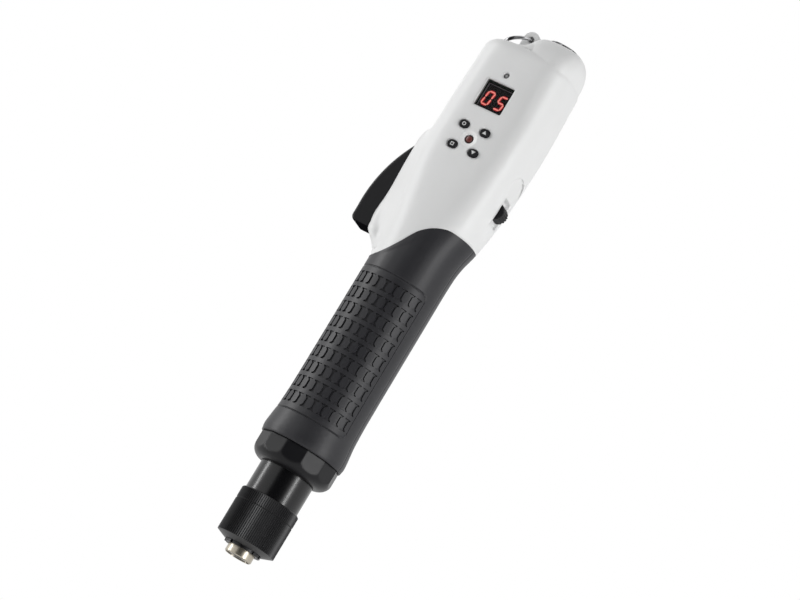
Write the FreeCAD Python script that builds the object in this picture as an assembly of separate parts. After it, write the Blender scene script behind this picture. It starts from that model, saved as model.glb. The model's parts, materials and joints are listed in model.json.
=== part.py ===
import FreeCAD, Part
import math
import os

from FreeCAD import Placement, Rotation, Vector

# In-line electric screwdriver, upright on its spindle axis, in millimetres.
# The origin is the mouth of the bit sleeve and +Z runs up the spindle.
# The display faces -Y, the start lever -X and the reverse switch +X.

# Clearances shared by all pieces
OVERRUN = 1.0  # how far a cutting shape runs past what it cuts
RUN_GAP = 0.05  # radial play of a shaft, pin or slide in its bore
SEAT_GAP = 0.15  # play of a fixed piece in its seat
FREE_GAP = 0.3  # air between pieces that move past each other
BOND_GAP = 0.04  # joint line of the rubber on the shells

# Bit sleeve and spindle nose
SLEEVE_RADIUS = 6.7
SLEEVE_LENGTH = 11.5
SLEEVE_SHOWN = 3.9  # seen below the torque ring's collar
SLEEVE_WALL = 0.7
SLEEVE_EDGE = 0.5
SLEEVE_MOUTH_DEPTH = 2.2  # wide mouth that lets the ball out
SLEEVE_GUIDE_LENGTH = 5.8  # close bore between the mouth and the spring pocket
SLEEVE_TRAVEL = 3.0
SPINDLE_RADIUS = 5.0
SPINDLE_INSET = 0.6  # spindle nose behind the sleeve mouth
SPIGOT_RADIUS = 3.5
HEX_ACROSS = 6.4
HEX_DEPTH = 16.5
CLIP_THICKNESS = 0.9
CLIP_RIM = 0.7  # clip outside the spindle
CLIP_GROOVE = 0.6
CLIP_MOUTH = 4.0
BALL_RADIUS = 1.2
BALL_HEIGHT = 3.7
SLEEVE_WIRE_RADIUS = 0.35
SLEEVE_SPRING_TURNS = 5

# Torque ring, lock ring and the tube that they turn on
RING_RADIUS = 14.6
RING_HEIGHT = 18.3
RING_FLOOR = 3.0
RING_BEVEL_WIDTH = 4.6  # sloping lower face
RING_BEVEL_HEIGHT = 1.9
RING_LINE = 0.35  # edges where the two rings meet
RING_TRAVEL = 3.0
RING_HUB_WALL = 2.4
COLLAR_RADIUS = 9.15
COLLAR_HEIGHT = 1.3
COLLAR_NOTCHES = 10
COLLAR_NOTCH_WIDTH = 1.5
COLLAR_NOTCH_DEPTH = 0.9
KNURL_RIBS = 90
KNURL_DEPTH = 0.4
LOCK_HEIGHT = 5.9
LOCK_EDGE = 0.6
LOCK_GAP = 0.1
THREAD_PLAY = 0.1  # rings on the tube
TUBE_RADIUS = 13.35
TUBE_WALL = 1.5
TUBE_SHOWN = 14.5  # between the lock ring and the nut
TUBE_TAIL = 13.5  # hidden length inside the torque ring
FLANGE_RADIUS = 16.4
FLANGE_THICKNESS = 2.4
WEB_THICKNESS = 2.2

# Torque clutch
SEAT_THICKNESS = 3.0
SEAT_HUB_HEIGHT = 3.0
SEAT_HUB_WALL = 1.8
CLUTCH_SPRING_RADIUS = 8.8
CLUTCH_WIRE_RADIUS = 1.1
CLUTCH_SPRING_TURNS = 5
PLATE_THICKNESS = 3.0
CLUTCH_BALLS = 6
CLUTCH_BALL_RADIUS = 1.5
CLUTCH_BALL_CIRCLE = 9.3
DIMPLE_DEPTH = 0.3
BUSH_WALL = 2.0

# Planetary gearbox, two like stages
MODULE = 0.5
SUN_TEETH = 12
PLANET_TEETH = 15
RING_TEETH = SUN_TEETH + 2 * PLANET_TEETH
PLANETS = 3
PRESSURE_ANGLE = 20.0
ADDENDUM_SHARE = 0.7
DEDENDUM_SHARE = 1.0
BACKLASH = 0.07
GEAR_WIDTH = 7.0
GEAR_SIDE_GAP = 0.2
RING_GEAR_WALL = 1.45
RING_GEAR_FLOOR = 1.5
RING_GEAR_EYE = 7.5
CARRIER_THICKNESS = 1.5
CARRIER_LIGHT = 0.5  # carrier rim inside the ring gear's tooth tips
PLANET_PIN_RADIUS = 1.2
CASE_WALL = 2.1

# Brushless motor
SHAFT_RADIUS = 2.0
PINION_SHAFT_RADIUS = 1.5
BELL_THICKNESS = 5.0
BELL_FACE = 1.2  # metal left under the bearing
BELL_EYE = 3.7
BEARING_RADIUS = 6.5
MOTOR_LENGTH = 46.0
CAN_WALL = 0.8
STATOR_LENGTH = 34.0
STATOR_BORE = 7.8
STATOR_YOKE = 2.0
STATOR_TEETH = 6
TOOTH_WIDTH = 3.6
TOOTH_SHOE = 1.2
SHOE_MOUTH = 1.6
COIL_OVERHANG = 3.0
COIL_THICKNESS = 1.6
COIL_BACK_GAP = 0.8
MAGNET_AIR = 0.5
SHAFT_TAIL = 2.0

# Nut and neck under the grip
NUT_RADIUS = 19.35
NUT_HEIGHT = 11.8
NUT_FLOOR = 1.6
NUT_ROUND = 6.0
NUT_SIDES = 12
NUT_TOP_EDGE = 0.5
NECK_RADIUS = 17.2
NECK_WALL = 2.3

# Outer form of the grip and head
GRIP_RADIUS = 19.4
FOOT_FLARE = 1.65
HEAD_LEFT = 23.9
HEAD_RIGHT = 25.5
HEAD_DEPTH = 20.5
HEAD_POWER = 3.0
BODY_HEIGHT = 206.0  # nut to the shoulder of the head
SHOULDER_ROUND = 6.5
OVAL_POINTS = 32
OVAL_SEAM_SHARE = 0.11
# Each row: height, foot flare, left growth, right growth, depth growth, squareness
BODY_SHARES = (
    (0.000, 0.72, 0.00, 0.00, 0.00, 0.00),
    (0.015, 1.00, 0.00, 0.00, 0.00, 0.00),
    (0.039, 0.72, 0.00, 0.00, 0.00, 0.00),
    (0.073, 0.27, 0.00, 0.00, 0.00, 0.00),
    (0.132, 0.04, 0.00, 0.00, 0.00, 0.00),
    (0.235, 0.00, 0.00, 0.00, 0.00, 0.00),
    (0.345, 0.00, 0.00, 0.00, 0.00, 0.00),
    (0.455, 0.00, 0.00, 0.00, 0.00, 0.00),
    (0.504, 0.00, 0.00, 0.03, 0.00, 0.02),
    (0.538, 0.00, 0.10, 0.17, 0.10, 0.07),
    (0.567, 0.00, 0.25, 0.42, 0.25, 0.15),
    (0.597, 0.00, 0.45, 0.60, 0.45, 0.27),
    (0.650, 0.00, 0.75, 0.78, 0.75, 0.54),
    (0.690, 0.00, 0.91, 0.85, 0.92, 0.78),
    (0.733, 0.00, 1.00, 0.90, 1.00, 0.95),
    (0.785, 0.00, 1.02, 0.99, 1.00, 1.00),
    (0.836, 0.00, 1.00, 1.04, 1.00, 1.00),
    (0.890, 0.00, 0.94, 1.02, 1.00, 1.00),
    (0.944, 0.00, 0.86, 0.96, 1.00, 1.00),
    (0.975, 0.00, 0.80, 0.92, 1.00, 1.00),
    (1.000, 0.00, 0.75, 0.88, 1.00, 1.00),
)
CAVITY_ROW = 8  # row of the table where the room inside starts to open out
GRIPPED_ROWS = 12  # rows of the table that lie under the rubber
TOP_STEPS = 5  # outlines along the rounded shoulder

# Rubber grip
RUBBER = 2.1
GRIP_LOW_EDGE = 93.6  # grip height on the lever side
GRIP_HIGH_EDGE = 119.3  # grip height on the switch side
# Edge of the rubber seen from the front: place across, rise from the low to the high edge
GRIP_EDGE_SHARES = (
    (-0.90, 0.00),
    (-0.60, 0.045),
    (-0.31, 0.19),
    (0.00, 0.44),
    (0.30, 0.70),
    (0.55, 0.90),
    (0.87, 0.99),
)
PANEL_FOOT = 12.5  # outline groove above the nut
PANEL_HEIGHT = 76.2
PANEL_EDGE_TURN = 66.5  # from the display towards the switch
PANEL_CORNER = 3.7
PANEL_GROOVE = 0.5
PANEL_GROOVE_DEPTH = 0.4
SLOT_ROWS = 9
SLOT_COLUMNS = 12
SLOT_PITCH = 7.98
SLOT_TURN = 13.0
SLOT_FIRST_TURN = 57.0
SLOT_FOOT = 15.8  # lowest slots above the nut
SLOT_HEIGHT = 5.7
SLOT_WIDTH = 0.6
SLOT_DEPTH = 0.7

# White shells
WALL = 2.4
BOSS_CENTRE = 9.4  # connector boss on the switch side of the top
BOSS_LEFT = 14.0
BOSS_RIGHT = 15.6
BOSS_DEPTH = 19.4
BOSS_POWER = 2.6
BOSS_RISE = 10.0  # above the shoulder's top face
BOSS_ROOT = 14.5  # below the shoulder's top face
# Each row: height, left, right, depth
BOSS_SHARES = (
    (0.00, 0.93, 0.90, 0.90),
    (0.30, 0.97, 0.955, 0.955),
    (0.54, 0.98, 0.96, 0.94),
    (0.76, 0.96, 0.93, 0.82),
    (0.91, 0.86, 0.83, 0.65),
    (1.00, 0.70, 0.67, 0.47),
)
SCREW_RADIUS = 1.2
SCREW_HEAD_RADIUS = 2.5
SCREW_HEAD_HEIGHT = 2.0
SCREW_LENGTH = 18.0
SCREW_BOSS_RADIUS = 2.9
SCREW_SEAT = 9.5  # screw head seat behind the parting plane
SCREW_SIDE_SHARE = 0.75
# Heights of the housing screws below the shoulder, on the left and on the right
SCREW_LEFT_DROPS = (6.5, 40.5)
SCREW_RIGHT_DROPS = (10.5, 52.5)

# Lever pod and start lever
POD_CENTRE = 14.0
POD_REACH = 28.2
POD_DEPTH = 10.5
POD_POWER = 3.2
POD_FOOT = 92.5  # pod root above the nut
POD_HEIGHT = 72.0
# Each row: height, reach
POD_SHARES = (
    (0.000, 0.60),
    (0.060, 0.68),
    (0.110, 0.74),
    (0.150, 0.83),
    (0.190, 0.94),
    (0.240, 1.00),
    (0.400, 1.00),
    (0.600, 1.00),
    (0.770, 1.00),
    (0.870, 0.98),
    (0.920, 0.945),
    (0.960, 0.87),
    (1.000, 0.75),
)
LEVER_HALF_WIDTH = 6.5
LEVER_EDGE = 1.0
PIVOT_SIDE = 20.0
PIVOT_HEIGHT = 152.0  # above the nut
LEVER_PIN_RADIUS = 1.5
LEVER_PIN_OVERLAP = 2.2  # pin length in each cheek
LEVER_EYE_RADIUS = 4.2
LEVER_DROP = 46.0  # pivot to the lever's lower end
LEVER_TIP_REACH = 17.0  # lever's outermost edge beyond the pivot
LEVER_TIP_ROUND = 3.0
LEVER_FOOT = 7.0  # lever's inner lower corner beyond the pivot
LEVER_HEEL = 4.5  # lever's inner edge beyond the pivot where the arm leaves
LEVER_ARM = 4.7  # arm's pressing face on the inner side of the pivot
LEVER_ARM_DROP = 15.5
LEVER_SLOT_FOOT = 1.5  # slot below the lever's lower end
LEVER_SLOT_BACK = 20.0
LEVER_SLOT_RISE = 6.5
LEVER_WELL_BACK = 11.0
LEVER_SPRING_DROP = 38.0
LEVER_SPRING_SINK = 3.0  # spring pocket in the slot's back wall
LEVER_SPRING_RADIUS = 2.6
LEVER_WIRE_RADIUS = 0.35
LEVER_SPRING_TURNS = 4

# Start switch
SWITCH_DROP = 9.0  # plunger below the lever pivot
SWITCH_WIDTH = 6.5
SWITCH_HALF_DEPTH = 3.2
SWITCH_HEIGHT = 13.0
SWITCH_POST_RADIUS = 1.15
SWITCH_POST_SPAN = 9.0
PLUNGER_RADIUS = 1.4
PLUNGER_LENGTH = 5.5
PLUNGER_SHOWN = 2.4
PLUNGER_TRAVEL = 1.35

# Reverse switch
REVERSE_HEIGHT = 139.8  # middle of the slide above the nut
RECESS_SIDE = 22.4  # recess floor from the spindle axis
RECESS_LENGTH = 12.6
RECESS_SLOPE = 2.2
RECESS_HALF_WIDTH = 4.2
RECESS_RISE = 4.0  # recess mouth beyond its floor
KNOB_LENGTH = 7.9
KNOB_HALF_WIDTH = 3.5
KNOB_PLATE = 1.0
KNOB_RISE = 4.3
KNOB_RIBS = 5
KNOB_RIB_DEPTH = 0.35
KNOB_TRAVEL = 2.0
STEM_HALF_WIDTH = 1.2
STEM_HALF_LENGTH = 1.5
STEM_LENGTH = 5.4
RECESS_FLOOR = 2.2
REVERSE_BODY_WIDTH = 6.5
REVERSE_BODY_HALF_DEPTH = 3.6
REVERSE_BODY_LENGTH = 15.0
SCOOP_SIDE = 24.3  # flat thumb hollow round the recess, from the spindle axis
SCOOP_HALF_WIDTH = 8.5
SCOOP_RISE = 19.3  # arched top above the middle of the slide

# Display and keypad
BOARD_GAP = 4.5  # display board behind the front wall
BOARD_THICKNESS = 1.6
BOARD_HALF_WIDTH = 11.5
BOARD_TOP_DROP = 9.5  # below the shoulder
BOARD_HEIGHT = 49.0
BOARD_POST_RADIUS = 1.8
BOARD_POST_INSET = 2.2
DISPLAY_DROP = 22.3  # display centre below the shoulder
DISPLAY_WIDTH = 14.8
DISPLAY_HEIGHT = 14.2
DISPLAY_ROUND = 0.8
DISPLAY_SINK = 0.9
MODULE_RIM = 0.9
LENS_THICKNESS = 1.2
KEYPAD_DROP = 45.3  # status lamp below the shoulder
KEY_HALF_PITCH_X = 5.6
KEY_HALF_PITCH_Z = 5.45
KEY_HALF_WIDTH = 2.4
KEY_HALF_HEIGHT = 1.8
KEY_PROUD = 0.45
KEY_FLANGE = 0.8
KEY_FLANGE_THICKNESS = 0.7
KEY_CROWN = 0.35
KEY_TRAVEL = 0.4
KEY_SWITCH_HALF = 2.2
KEY_STEM_RADIUS = 1.2
LAMP_RADIUS = 2.1
LAMP_DISH_RADIUS = 4.1
LAMP_DISH_DEPTH = 0.8
READY_DROP = 10.9
READY_RADIUS = 1.3

# Control board
CONTROL_SETBACK = 7.0  # board face behind the parting plane
CONTROL_HALF_WIDTH = 12.5
CONTROL_HEIGHT = 52.0
CONTROL_TOP_DROP = 5.5
CONTROL_POST_RADIUS = 1.8
CONTROL_POST_INSET = 2.4
POWER_CHIPS = 6
CHIP_SIZE = 5.0
CHIP_THICKNESS = 1.6
CHIP_PITCH = 6.5
CAPACITOR_RADIUS = 4.0
CAPACITOR_LENGTH = 12.0

# Hanger and connector on the top
LUG_SIDE = 6.6
LUG_HALF_WIDTH = 4.0
LUG_HALF_DEPTH = 2.6
LUG_EYE_HEIGHT = 8.2  # above the shoulder's top face
LUG_EYE_RADIUS = 1.65
LUG_FOOT_OVERHANG = 2.6
LUG_FOOT_THICKNESS = 2.4
HANGER_RADIUS = 6.75
HANGER_WIRE_RADIUS = 0.85
HANGER_LEAN = 31.0
BARREL_RADIUS = 8.0
BARREL_WALL = 1.5
BARREL_RISE = 1.3  # above the boss
BARREL_LENGTH = 13.0
BARREL_COLLAR_RIM = 1.5
BARREL_COLLAR_HEIGHT = 2.0
BARREL_COLLAR_DROP = 9.5
BARREL_EDGE = 0.4
SOCKET_RADIUS = 6.9  # wide mouth for the plug
SOCKET_DEPTH = 3.6
INSERT_THICKNESS = 5.5
CONTACT_PINS = 5
CONTACT_RADIUS = 0.6
CONTACT_CIRCLE = 3.6
CONTACT_RISE = 3.0

# Heights worked out from the sizes above
Z_COLLAR = SLEEVE_SHOWN
Z_RING = Z_COLLAR + COLLAR_HEIGHT
Z_RING_TOP = Z_RING + RING_HEIGHT
Z_LOCK = Z_RING_TOP + LOCK_GAP
Z_TUBE_SHOWN = Z_LOCK + LOCK_HEIGHT
Z_NUT = Z_TUBE_SHOWN + TUBE_SHOWN
Z_GRIP = Z_NUT + NUT_HEIGHT
Z_SHOULDER = Z_GRIP + BODY_HEIGHT
Z_TOP = Z_SHOULDER + SHOULDER_ROUND
Z_BOSS_TOP = Z_TOP + BOSS_RISE
Z_SLEEVE_POCKET = SLEEVE_MOUTH_DEPTH + SLEEVE_GUIDE_LENGTH
Z_STOP_CLIP = SLEEVE_LENGTH + SLEEVE_TRAVEL + FREE_GAP
Z_SEAT = Z_STOP_CLIP + CLIP_THICKNESS + FREE_GAP + RING_TRAVEL
Z_SEAT_TOP = Z_SEAT + SEAT_THICKNESS
Z_TUBE_END = Z_RING_TOP - TUBE_TAIL
Z_FLANGE = Z_NUT + NUT_FLOOR
Z_NECK = Z_FLANGE + FLANGE_THICKNESS
Z_CLUTCH_BALL = Z_FLANGE + GEAR_SIDE_GAP + DIMPLE_DEPTH - CLUTCH_BALL_RADIUS - RUN_GAP
Z_PLATE_TOP = Z_CLUTCH_BALL - CLUTCH_BALL_RADIUS
Z_PLATE = Z_PLATE_TOP - PLATE_THICKNESS
Z_RING_GEAR = Z_FLANGE + GEAR_SIDE_GAP
Z_OUTPUT_CARRIER = Z_RING_GEAR + RING_GEAR_FLOOR + GEAR_SIDE_GAP
Z_SECOND_GEARS = Z_OUTPUT_CARRIER + CARRIER_THICKNESS + GEAR_SIDE_GAP
Z_FIRST_CARRIER = Z_SECOND_GEARS + GEAR_WIDTH + 3 * GEAR_SIDE_GAP
Z_FIRST_GEARS = Z_FIRST_CARRIER + CARRIER_THICKNESS + GEAR_SIDE_GAP
Z_SPLIT = Z_SECOND_GEARS + GEAR_WIDTH + GEAR_SIDE_GAP  # where the two ring gears meet
Z_BELL = Z_FIRST_GEARS + GEAR_WIDTH + 3 * GEAR_SIDE_GAP
Z_CAN = Z_BELL + BELL_THICKNESS
Z_REAR_BELL = Z_CAN + MOTOR_LENGTH
Z_STATOR = Z_CAN + (MOTOR_LENGTH - STATOR_LENGTH) / 2
Z_PIVOT = Z_GRIP + PIVOT_HEIGHT
Z_PLUNGER = Z_PIVOT - SWITCH_DROP
Z_REVERSE = Z_GRIP + REVERSE_HEIGHT
Z_DISPLAY = Z_SHOULDER - DISPLAY_DROP
Z_KEYPAD = Z_SHOULDER - KEYPAD_DROP
Z_READY = Z_SHOULDER - READY_DROP
Z_LUG_EYE = Z_TOP + LUG_EYE_HEIGHT
Z_BARREL_TOP = Z_BOSS_TOP + BARREL_RISE
Z_BARREL = Z_BARREL_TOP - BARREL_LENGTH

# Radii and depths worked out from the sizes above
TUBE_BORE = TUBE_RADIUS - TUBE_WALL
RING_BORE = SLEEVE_RADIUS + FREE_GAP
THREAD_BORE = TUBE_RADIUS + THREAD_PLAY
CORE_BORE = NECK_RADIUS - NECK_WALL
CASE_RADIUS = CORE_BORE - SEAT_GAP
CASE_BORE = CASE_RADIUS - CASE_WALL
GEAR_CENTRES = MODULE * (SUN_TEETH + PLANET_TEETH) / 2
RING_TIP = MODULE * (RING_TEETH / 2 - ADDENDUM_SHARE)
CARRIER_RADIUS = RING_TIP - CARRIER_LIGHT
CAN_RADIUS = CORE_BORE - FREE_GAP
FRONT_INNER = HEAD_DEPTH - WALL
BOARD_FACE = FRONT_INNER - BOARD_GAP


def upright(radius, low, high, x=0.0, y=0.0):
    """Cylinder along Z between two heights."""
    return Part.makeCylinder(radius, high - low, Vector(x, y, low))


def lying(radius, start, end, x, z):
    """Cylinder along Y between two depths."""
    low, high = min(start, end), max(start, end)
    return Part.makeCylinder(radius, high - low, Vector(x, low, z), Vector(0, 1, 0))


def tube(outer, inner, low, high, x=0.0):
    """Ring along Z with a through bore."""
    return upright(outer, low, high, x).cut(upright(inner, low - OVERRUN, high + OVERRUN, x))


def block(x, y, z):
    """Box between pairs of limits along X, Y and Z."""
    size = [limits[1] - limits[0] for limits in (x, y, z)]
    return Part.makeBox(*size, Vector(x[0], y[0], z[0]))


def turned(points):
    """Solid of revolution about Z from an outline of radius and height pairs."""
    outline = Part.makePolygon([Vector(radius, 0, height) for radius, height in points + points[:1]])
    return Part.Face(outline).revolve(Vector(), Vector(0, 0, 1), 360)


def around_z(shape, degrees):
    """Copy of a shape turned about the spindle axis."""
    copy = shape.copy()
    copy.rotate(Vector(), Vector(0, 0, 1), degrees)
    return copy


def repeated(shape, count):
    """Copies of a shape evenly spaced about the spindle axis."""
    return [around_z(shape, 360 * i / count) for i in range(count)]


def flipped(shape):
    """Mirror image of a shape across the parting plane."""
    return shape.mirror(Vector(), Vector(0, 1, 0))


def arc_from(start, heading, end):
    """Circular arc that leaves a point along a heading and reaches an end."""
    chord = end - start
    along = Vector(chord).normalize()
    aside = heading - along * heading.dot(along)
    swing = math.atan2(aside.Length, heading.dot(along))
    sagitta = chord.Length / 2 * math.tan(swing / 2)
    return Part.Arc(start, (start + end) / 2 + aside.normalize() * sagitta, end).toShape()


def biarc(start, start_heading, end, end_heading):
    """Two arcs that join two points smoothly along given headings."""
    span = end - start
    both = start_heading + end_heading
    bend = 2 * (1 - start_heading.dot(end_heading))
    reach = (math.sqrt(span.dot(both) ** 2 + bend * span.dot(span)) - span.dot(both)) / bend
    middle = (start + start_heading * reach + end - end_heading * reach) / 2
    onward = middle - start - start_heading * reach
    return [arc_from(start, start_heading, middle), arc_from(middle, onward.normalize(), end)]


def coil(low, high, radius, wire, turns):
    """Round-wire spring along Z that keeps a wire radius of air at both ends."""
    start = low + wire + RUN_GAP
    rise = high - low - 2 * (wire + RUN_GAP)
    quarters = 4 * turns

    def place(quarter):
        turn = math.pi / 2 * quarter
        return Vector(radius * math.cos(turn), radius * math.sin(turn), start + rise * quarter / quarters)

    def heading(quarter):
        turn = math.pi / 2 * quarter
        climb = rise / quarters / (math.pi / 2)
        return Vector(-radius * math.sin(turn), radius * math.cos(turn), climb).normalize()

    arcs = []
    for i in range(quarters):
        arcs += biarc(place(i), heading(i), place(i + 1), heading(i + 1))
    section = Part.Wire(Part.makeCircle(wire, place(0), heading(0)))
    spots = [place(i / 2) for i in range(2 * quarters + 1)]
    pairs = [(one, other) for i, one in enumerate(spots) for other in spots[i + 4 :]]
    gap = min(one.distanceToPoint(other) for one, other in pairs) - 2 * wire
    print("least gap of the coil to itself:", round(gap, 3))
    return Part.Wire(arcs).makePipeShell([section], True, False)


def oval(height, centre, left, right, depth, power):
    """Closed smooth outline at one height, squarer as the power grows."""
    points = []
    for i in range(OVAL_POINTS):
        turn = 2 * math.pi * (i / OVAL_POINTS + OVAL_SEAM_SHARE)
        reach = right if math.cos(turn) > 0 else left
        across = abs(math.cos(turn)) / reach
        deep = abs(math.sin(turn)) / depth
        radius = (across**power + deep**power) ** (-1 / power)
        points.append(Vector(centre + radius * math.cos(turn), radius * math.sin(turn), height))
    curve = Part.BSplineCurve()
    curve.interpolate(Points=points, PeriodicFlag=True)
    return Part.Wire([curve.toShape()])


def front_half(shape):
    """The part of a shape in front of the parting plane."""
    box = shape.BoundBox
    return shape.common(
        block(
            (box.XMin - OVERRUN, box.XMax + OVERRUN),
            (box.YMin - OVERRUN, 0),
            (box.ZMin - OVERRUN, box.ZMax + OVERRUN),
        )
    )


# Nose: bit sleeve, spindle and quick-release pieces


def bit_sleeve():
    mouth = SLEEVE_RADIUS - SLEEVE_WALL
    bore = SPINDLE_RADIUS + RUN_GAP
    return turned(
        [
            (mouth, 0),
            (SLEEVE_RADIUS - SLEEVE_EDGE, 0),
            (SLEEVE_RADIUS, SLEEVE_EDGE),
            (SLEEVE_RADIUS, SLEEVE_LENGTH),
            (mouth, SLEEVE_LENGTH),
            (mouth, Z_SLEEVE_POCKET),
            (bore, Z_SLEEVE_POCKET),
            (bore, SLEEVE_MOUTH_DEPTH),
            (mouth, SLEEVE_MOUTH_DEPTH),
        ]
    )


def clip_levels():
    """Lower faces of the nose clip and the stop clip."""
    return SLEEVE_MOUTH_DEPTH - RUN_GAP - CLIP_THICKNESS, Z_STOP_CLIP


def hexagon(across, low, high):
    """Six-sided prism with flats that face X."""
    corner = across / math.sqrt(3)
    points = [Vector(corner, 0, low)]
    for i in range(1, 7):
        points.append(Vector(corner * math.cos(math.pi / 3 * i), corner * math.sin(math.pi / 3 * i), low))
    prism = Part.Face(Part.makePolygon(points)).extrude(Vector(0, 0, high - low))
    return around_z(prism, 30)


def output_spindle():
    shaft = upright(SPINDLE_RADIUS, SPINDLE_INSET, Z_OUTPUT_CARRIER)
    spigot = upright(SPIGOT_RADIUS, Z_OUTPUT_CARRIER, Z_OUTPUT_CARRIER + CARRIER_THICKNESS)
    socket = hexagon(HEX_ACROSS, SPINDLE_INSET - OVERRUN, SPINDLE_INSET + HEX_DEPTH)
    ball_hole = Part.makeCylinder(BALL_RADIUS + RUN_GAP, SPINDLE_RADIUS + OVERRUN, Vector(0, 0, BALL_HEIGHT), Vector(1, 0, 0))
    grooves = [
        tube(SPINDLE_RADIUS + OVERRUN, SPINDLE_RADIUS - CLIP_GROOVE, low - RUN_GAP, low + CLIP_THICKNESS + RUN_GAP)
        for low in clip_levels()
    ]
    return shaft.fuse(spigot).cut([socket, ball_hole] + grooves).removeSplitter()


def bit_ball():
    return Part.makeSphere(BALL_RADIUS, Vector(SPINDLE_RADIUS - BALL_RADIUS, 0, BALL_HEIGHT))


def sleeve_clips():
    inner = SPINDLE_RADIUS - CLIP_GROOVE + RUN_GAP
    rims = (SPINDLE_RADIUS + CLIP_RIM, SPINDLE_RADIUS + 2 * CLIP_RIM)
    clips = []
    for low, rim in zip(clip_levels(), rims):
        ring = tube(rim, inner, low, low + CLIP_THICKNESS)
        mouth = block((-rim - OVERRUN, 0), (-CLIP_MOUTH / 2, CLIP_MOUTH / 2), (low - OVERRUN, low + CLIP_THICKNESS + OVERRUN))
        clips.append(ring.cut(mouth))
    return Part.Compound(clips)


def sleeve_spring():
    radius = (SPINDLE_RADIUS + SLEEVE_RADIUS - SLEEVE_WALL) / 2
    return coil(Z_SLEEVE_POCKET, Z_STOP_CLIP, radius, SLEEVE_WIRE_RADIUS, SLEEVE_SPRING_TURNS)


# Torque ring, lock ring and tube


def knurled(low, high, bottom_width, bottom_height, top_edge):
    """Ring blank with straight V ribs and chamfered ends."""
    points = []
    for i in range(2 * KNURL_RIBS):
        radius = RING_RADIUS - KNURL_DEPTH * (i % 2)
        turn = math.pi * i / KNURL_RIBS
        points.append(Vector(radius * math.cos(turn), radius * math.sin(turn), low))
    ribs = Part.Face(Part.makePolygon(points + points[:1])).extrude(Vector(0, 0, high - low))
    envelope = turned(
        [
            (0, low),
            (RING_RADIUS - bottom_width, low),
            (RING_RADIUS, low + bottom_height),
            (RING_RADIUS, high - top_edge),
            (RING_RADIUS - top_edge, high),
            (0, high),
        ]
    )
    return ribs.common(envelope)


def torque_ring():
    collar = upright(COLLAR_RADIUS, Z_COLLAR, Z_RING + RING_FLOOR)
    notch = block(
        (COLLAR_RADIUS - COLLAR_NOTCH_DEPTH, COLLAR_RADIUS + OVERRUN),
        (-COLLAR_NOTCH_WIDTH / 2, COLLAR_NOTCH_WIDTH / 2),
        (Z_COLLAR - OVERRUN, Z_RING),
    )
    collar = collar.cut(repeated(notch, COLLAR_NOTCHES))
    hub = upright(RING_BORE + RING_HUB_WALL, Z_RING, Z_SEAT)
    blank = knurled(Z_RING, Z_RING_TOP, RING_BEVEL_WIDTH, RING_BEVEL_HEIGHT, RING_LINE)
    blank = blank.cut(upright(THREAD_BORE, Z_RING + RING_FLOOR, Z_RING_TOP + OVERRUN))
    ring = blank.fuse([collar, hub])
    return ring.cut(upright(RING_BORE, Z_COLLAR - OVERRUN, Z_SEAT + OVERRUN)).removeSplitter()


def lock_ring():
    blank = knurled(Z_LOCK, Z_TUBE_SHOWN, RING_LINE, RING_LINE, LOCK_EDGE)
    return blank.cut(upright(THREAD_BORE, Z_LOCK - OVERRUN, Z_TUBE_SHOWN + OVERRUN))


def clutch_ball_places():
    """Middles of the clutch balls."""
    start = Vector(CLUTCH_BALL_CIRCLE, 0, Z_CLUTCH_BALL)
    return [Rotation(Vector(0, 0, 1), 360 * i / CLUTCH_BALLS).multVec(start) for i in range(CLUTCH_BALLS)]


def clutch_tube():
    wall = upright(TUBE_RADIUS, Z_TUBE_END, Z_FLANGE)
    flange = upright(FLANGE_RADIUS, Z_FLANGE, Z_NECK)
    bore = upright(TUBE_BORE, Z_TUBE_END - OVERRUN, Z_FLANGE - WEB_THICKNESS)
    gear_well = upright(CASE_BORE, Z_FLANGE, Z_NECK + OVERRUN)
    eye = upright(SPINDLE_RADIUS + BUSH_WALL + RUN_GAP, Z_PLATE, Z_NECK)
    holes = [upright(CLUTCH_BALL_RADIUS + RUN_GAP, Z_PLATE, Z_NECK, p.x, p.y) for p in clutch_ball_places()]
    return wall.fuse(flange).cut([bore, gear_well, eye] + holes).removeSplitter()


# Torque clutch


def spring_seat():
    bore = SPINDLE_RADIUS + RUN_GAP
    plate = tube(TUBE_BORE - RUN_GAP, bore, Z_SEAT, Z_SEAT_TOP)
    hub = tube(bore + SEAT_HUB_WALL, bore, Z_SEAT_TOP, Z_SEAT_TOP + SEAT_HUB_HEIGHT)
    return plate.fuse(hub).removeSplitter()


def clutch_spring():
    return coil(Z_SEAT_TOP, Z_PLATE, CLUTCH_SPRING_RADIUS, CLUTCH_WIRE_RADIUS, CLUTCH_SPRING_TURNS)


def clutch_plate():
    return tube(TUBE_BORE - SEAT_GAP, SPINDLE_RADIUS + FREE_GAP, Z_PLATE, Z_PLATE_TOP)


def clutch_balls():
    return Part.Compound([Part.makeSphere(CLUTCH_BALL_RADIUS, place) for place in clutch_ball_places()])


def spindle_bush():
    bore = SPINDLE_RADIUS + RUN_GAP
    return tube(SPINDLE_RADIUS + BUSH_WALL, bore, Z_FLANGE - WEB_THICKNESS, Z_FLANGE)


# Planetary gearbox


def involute(radius, base):
    """Polar angle of an involute where it crosses a radius."""
    stretch = math.sqrt(max((radius / base) ** 2 - 1, 0))
    return stretch - math.atan(stretch)


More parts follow.
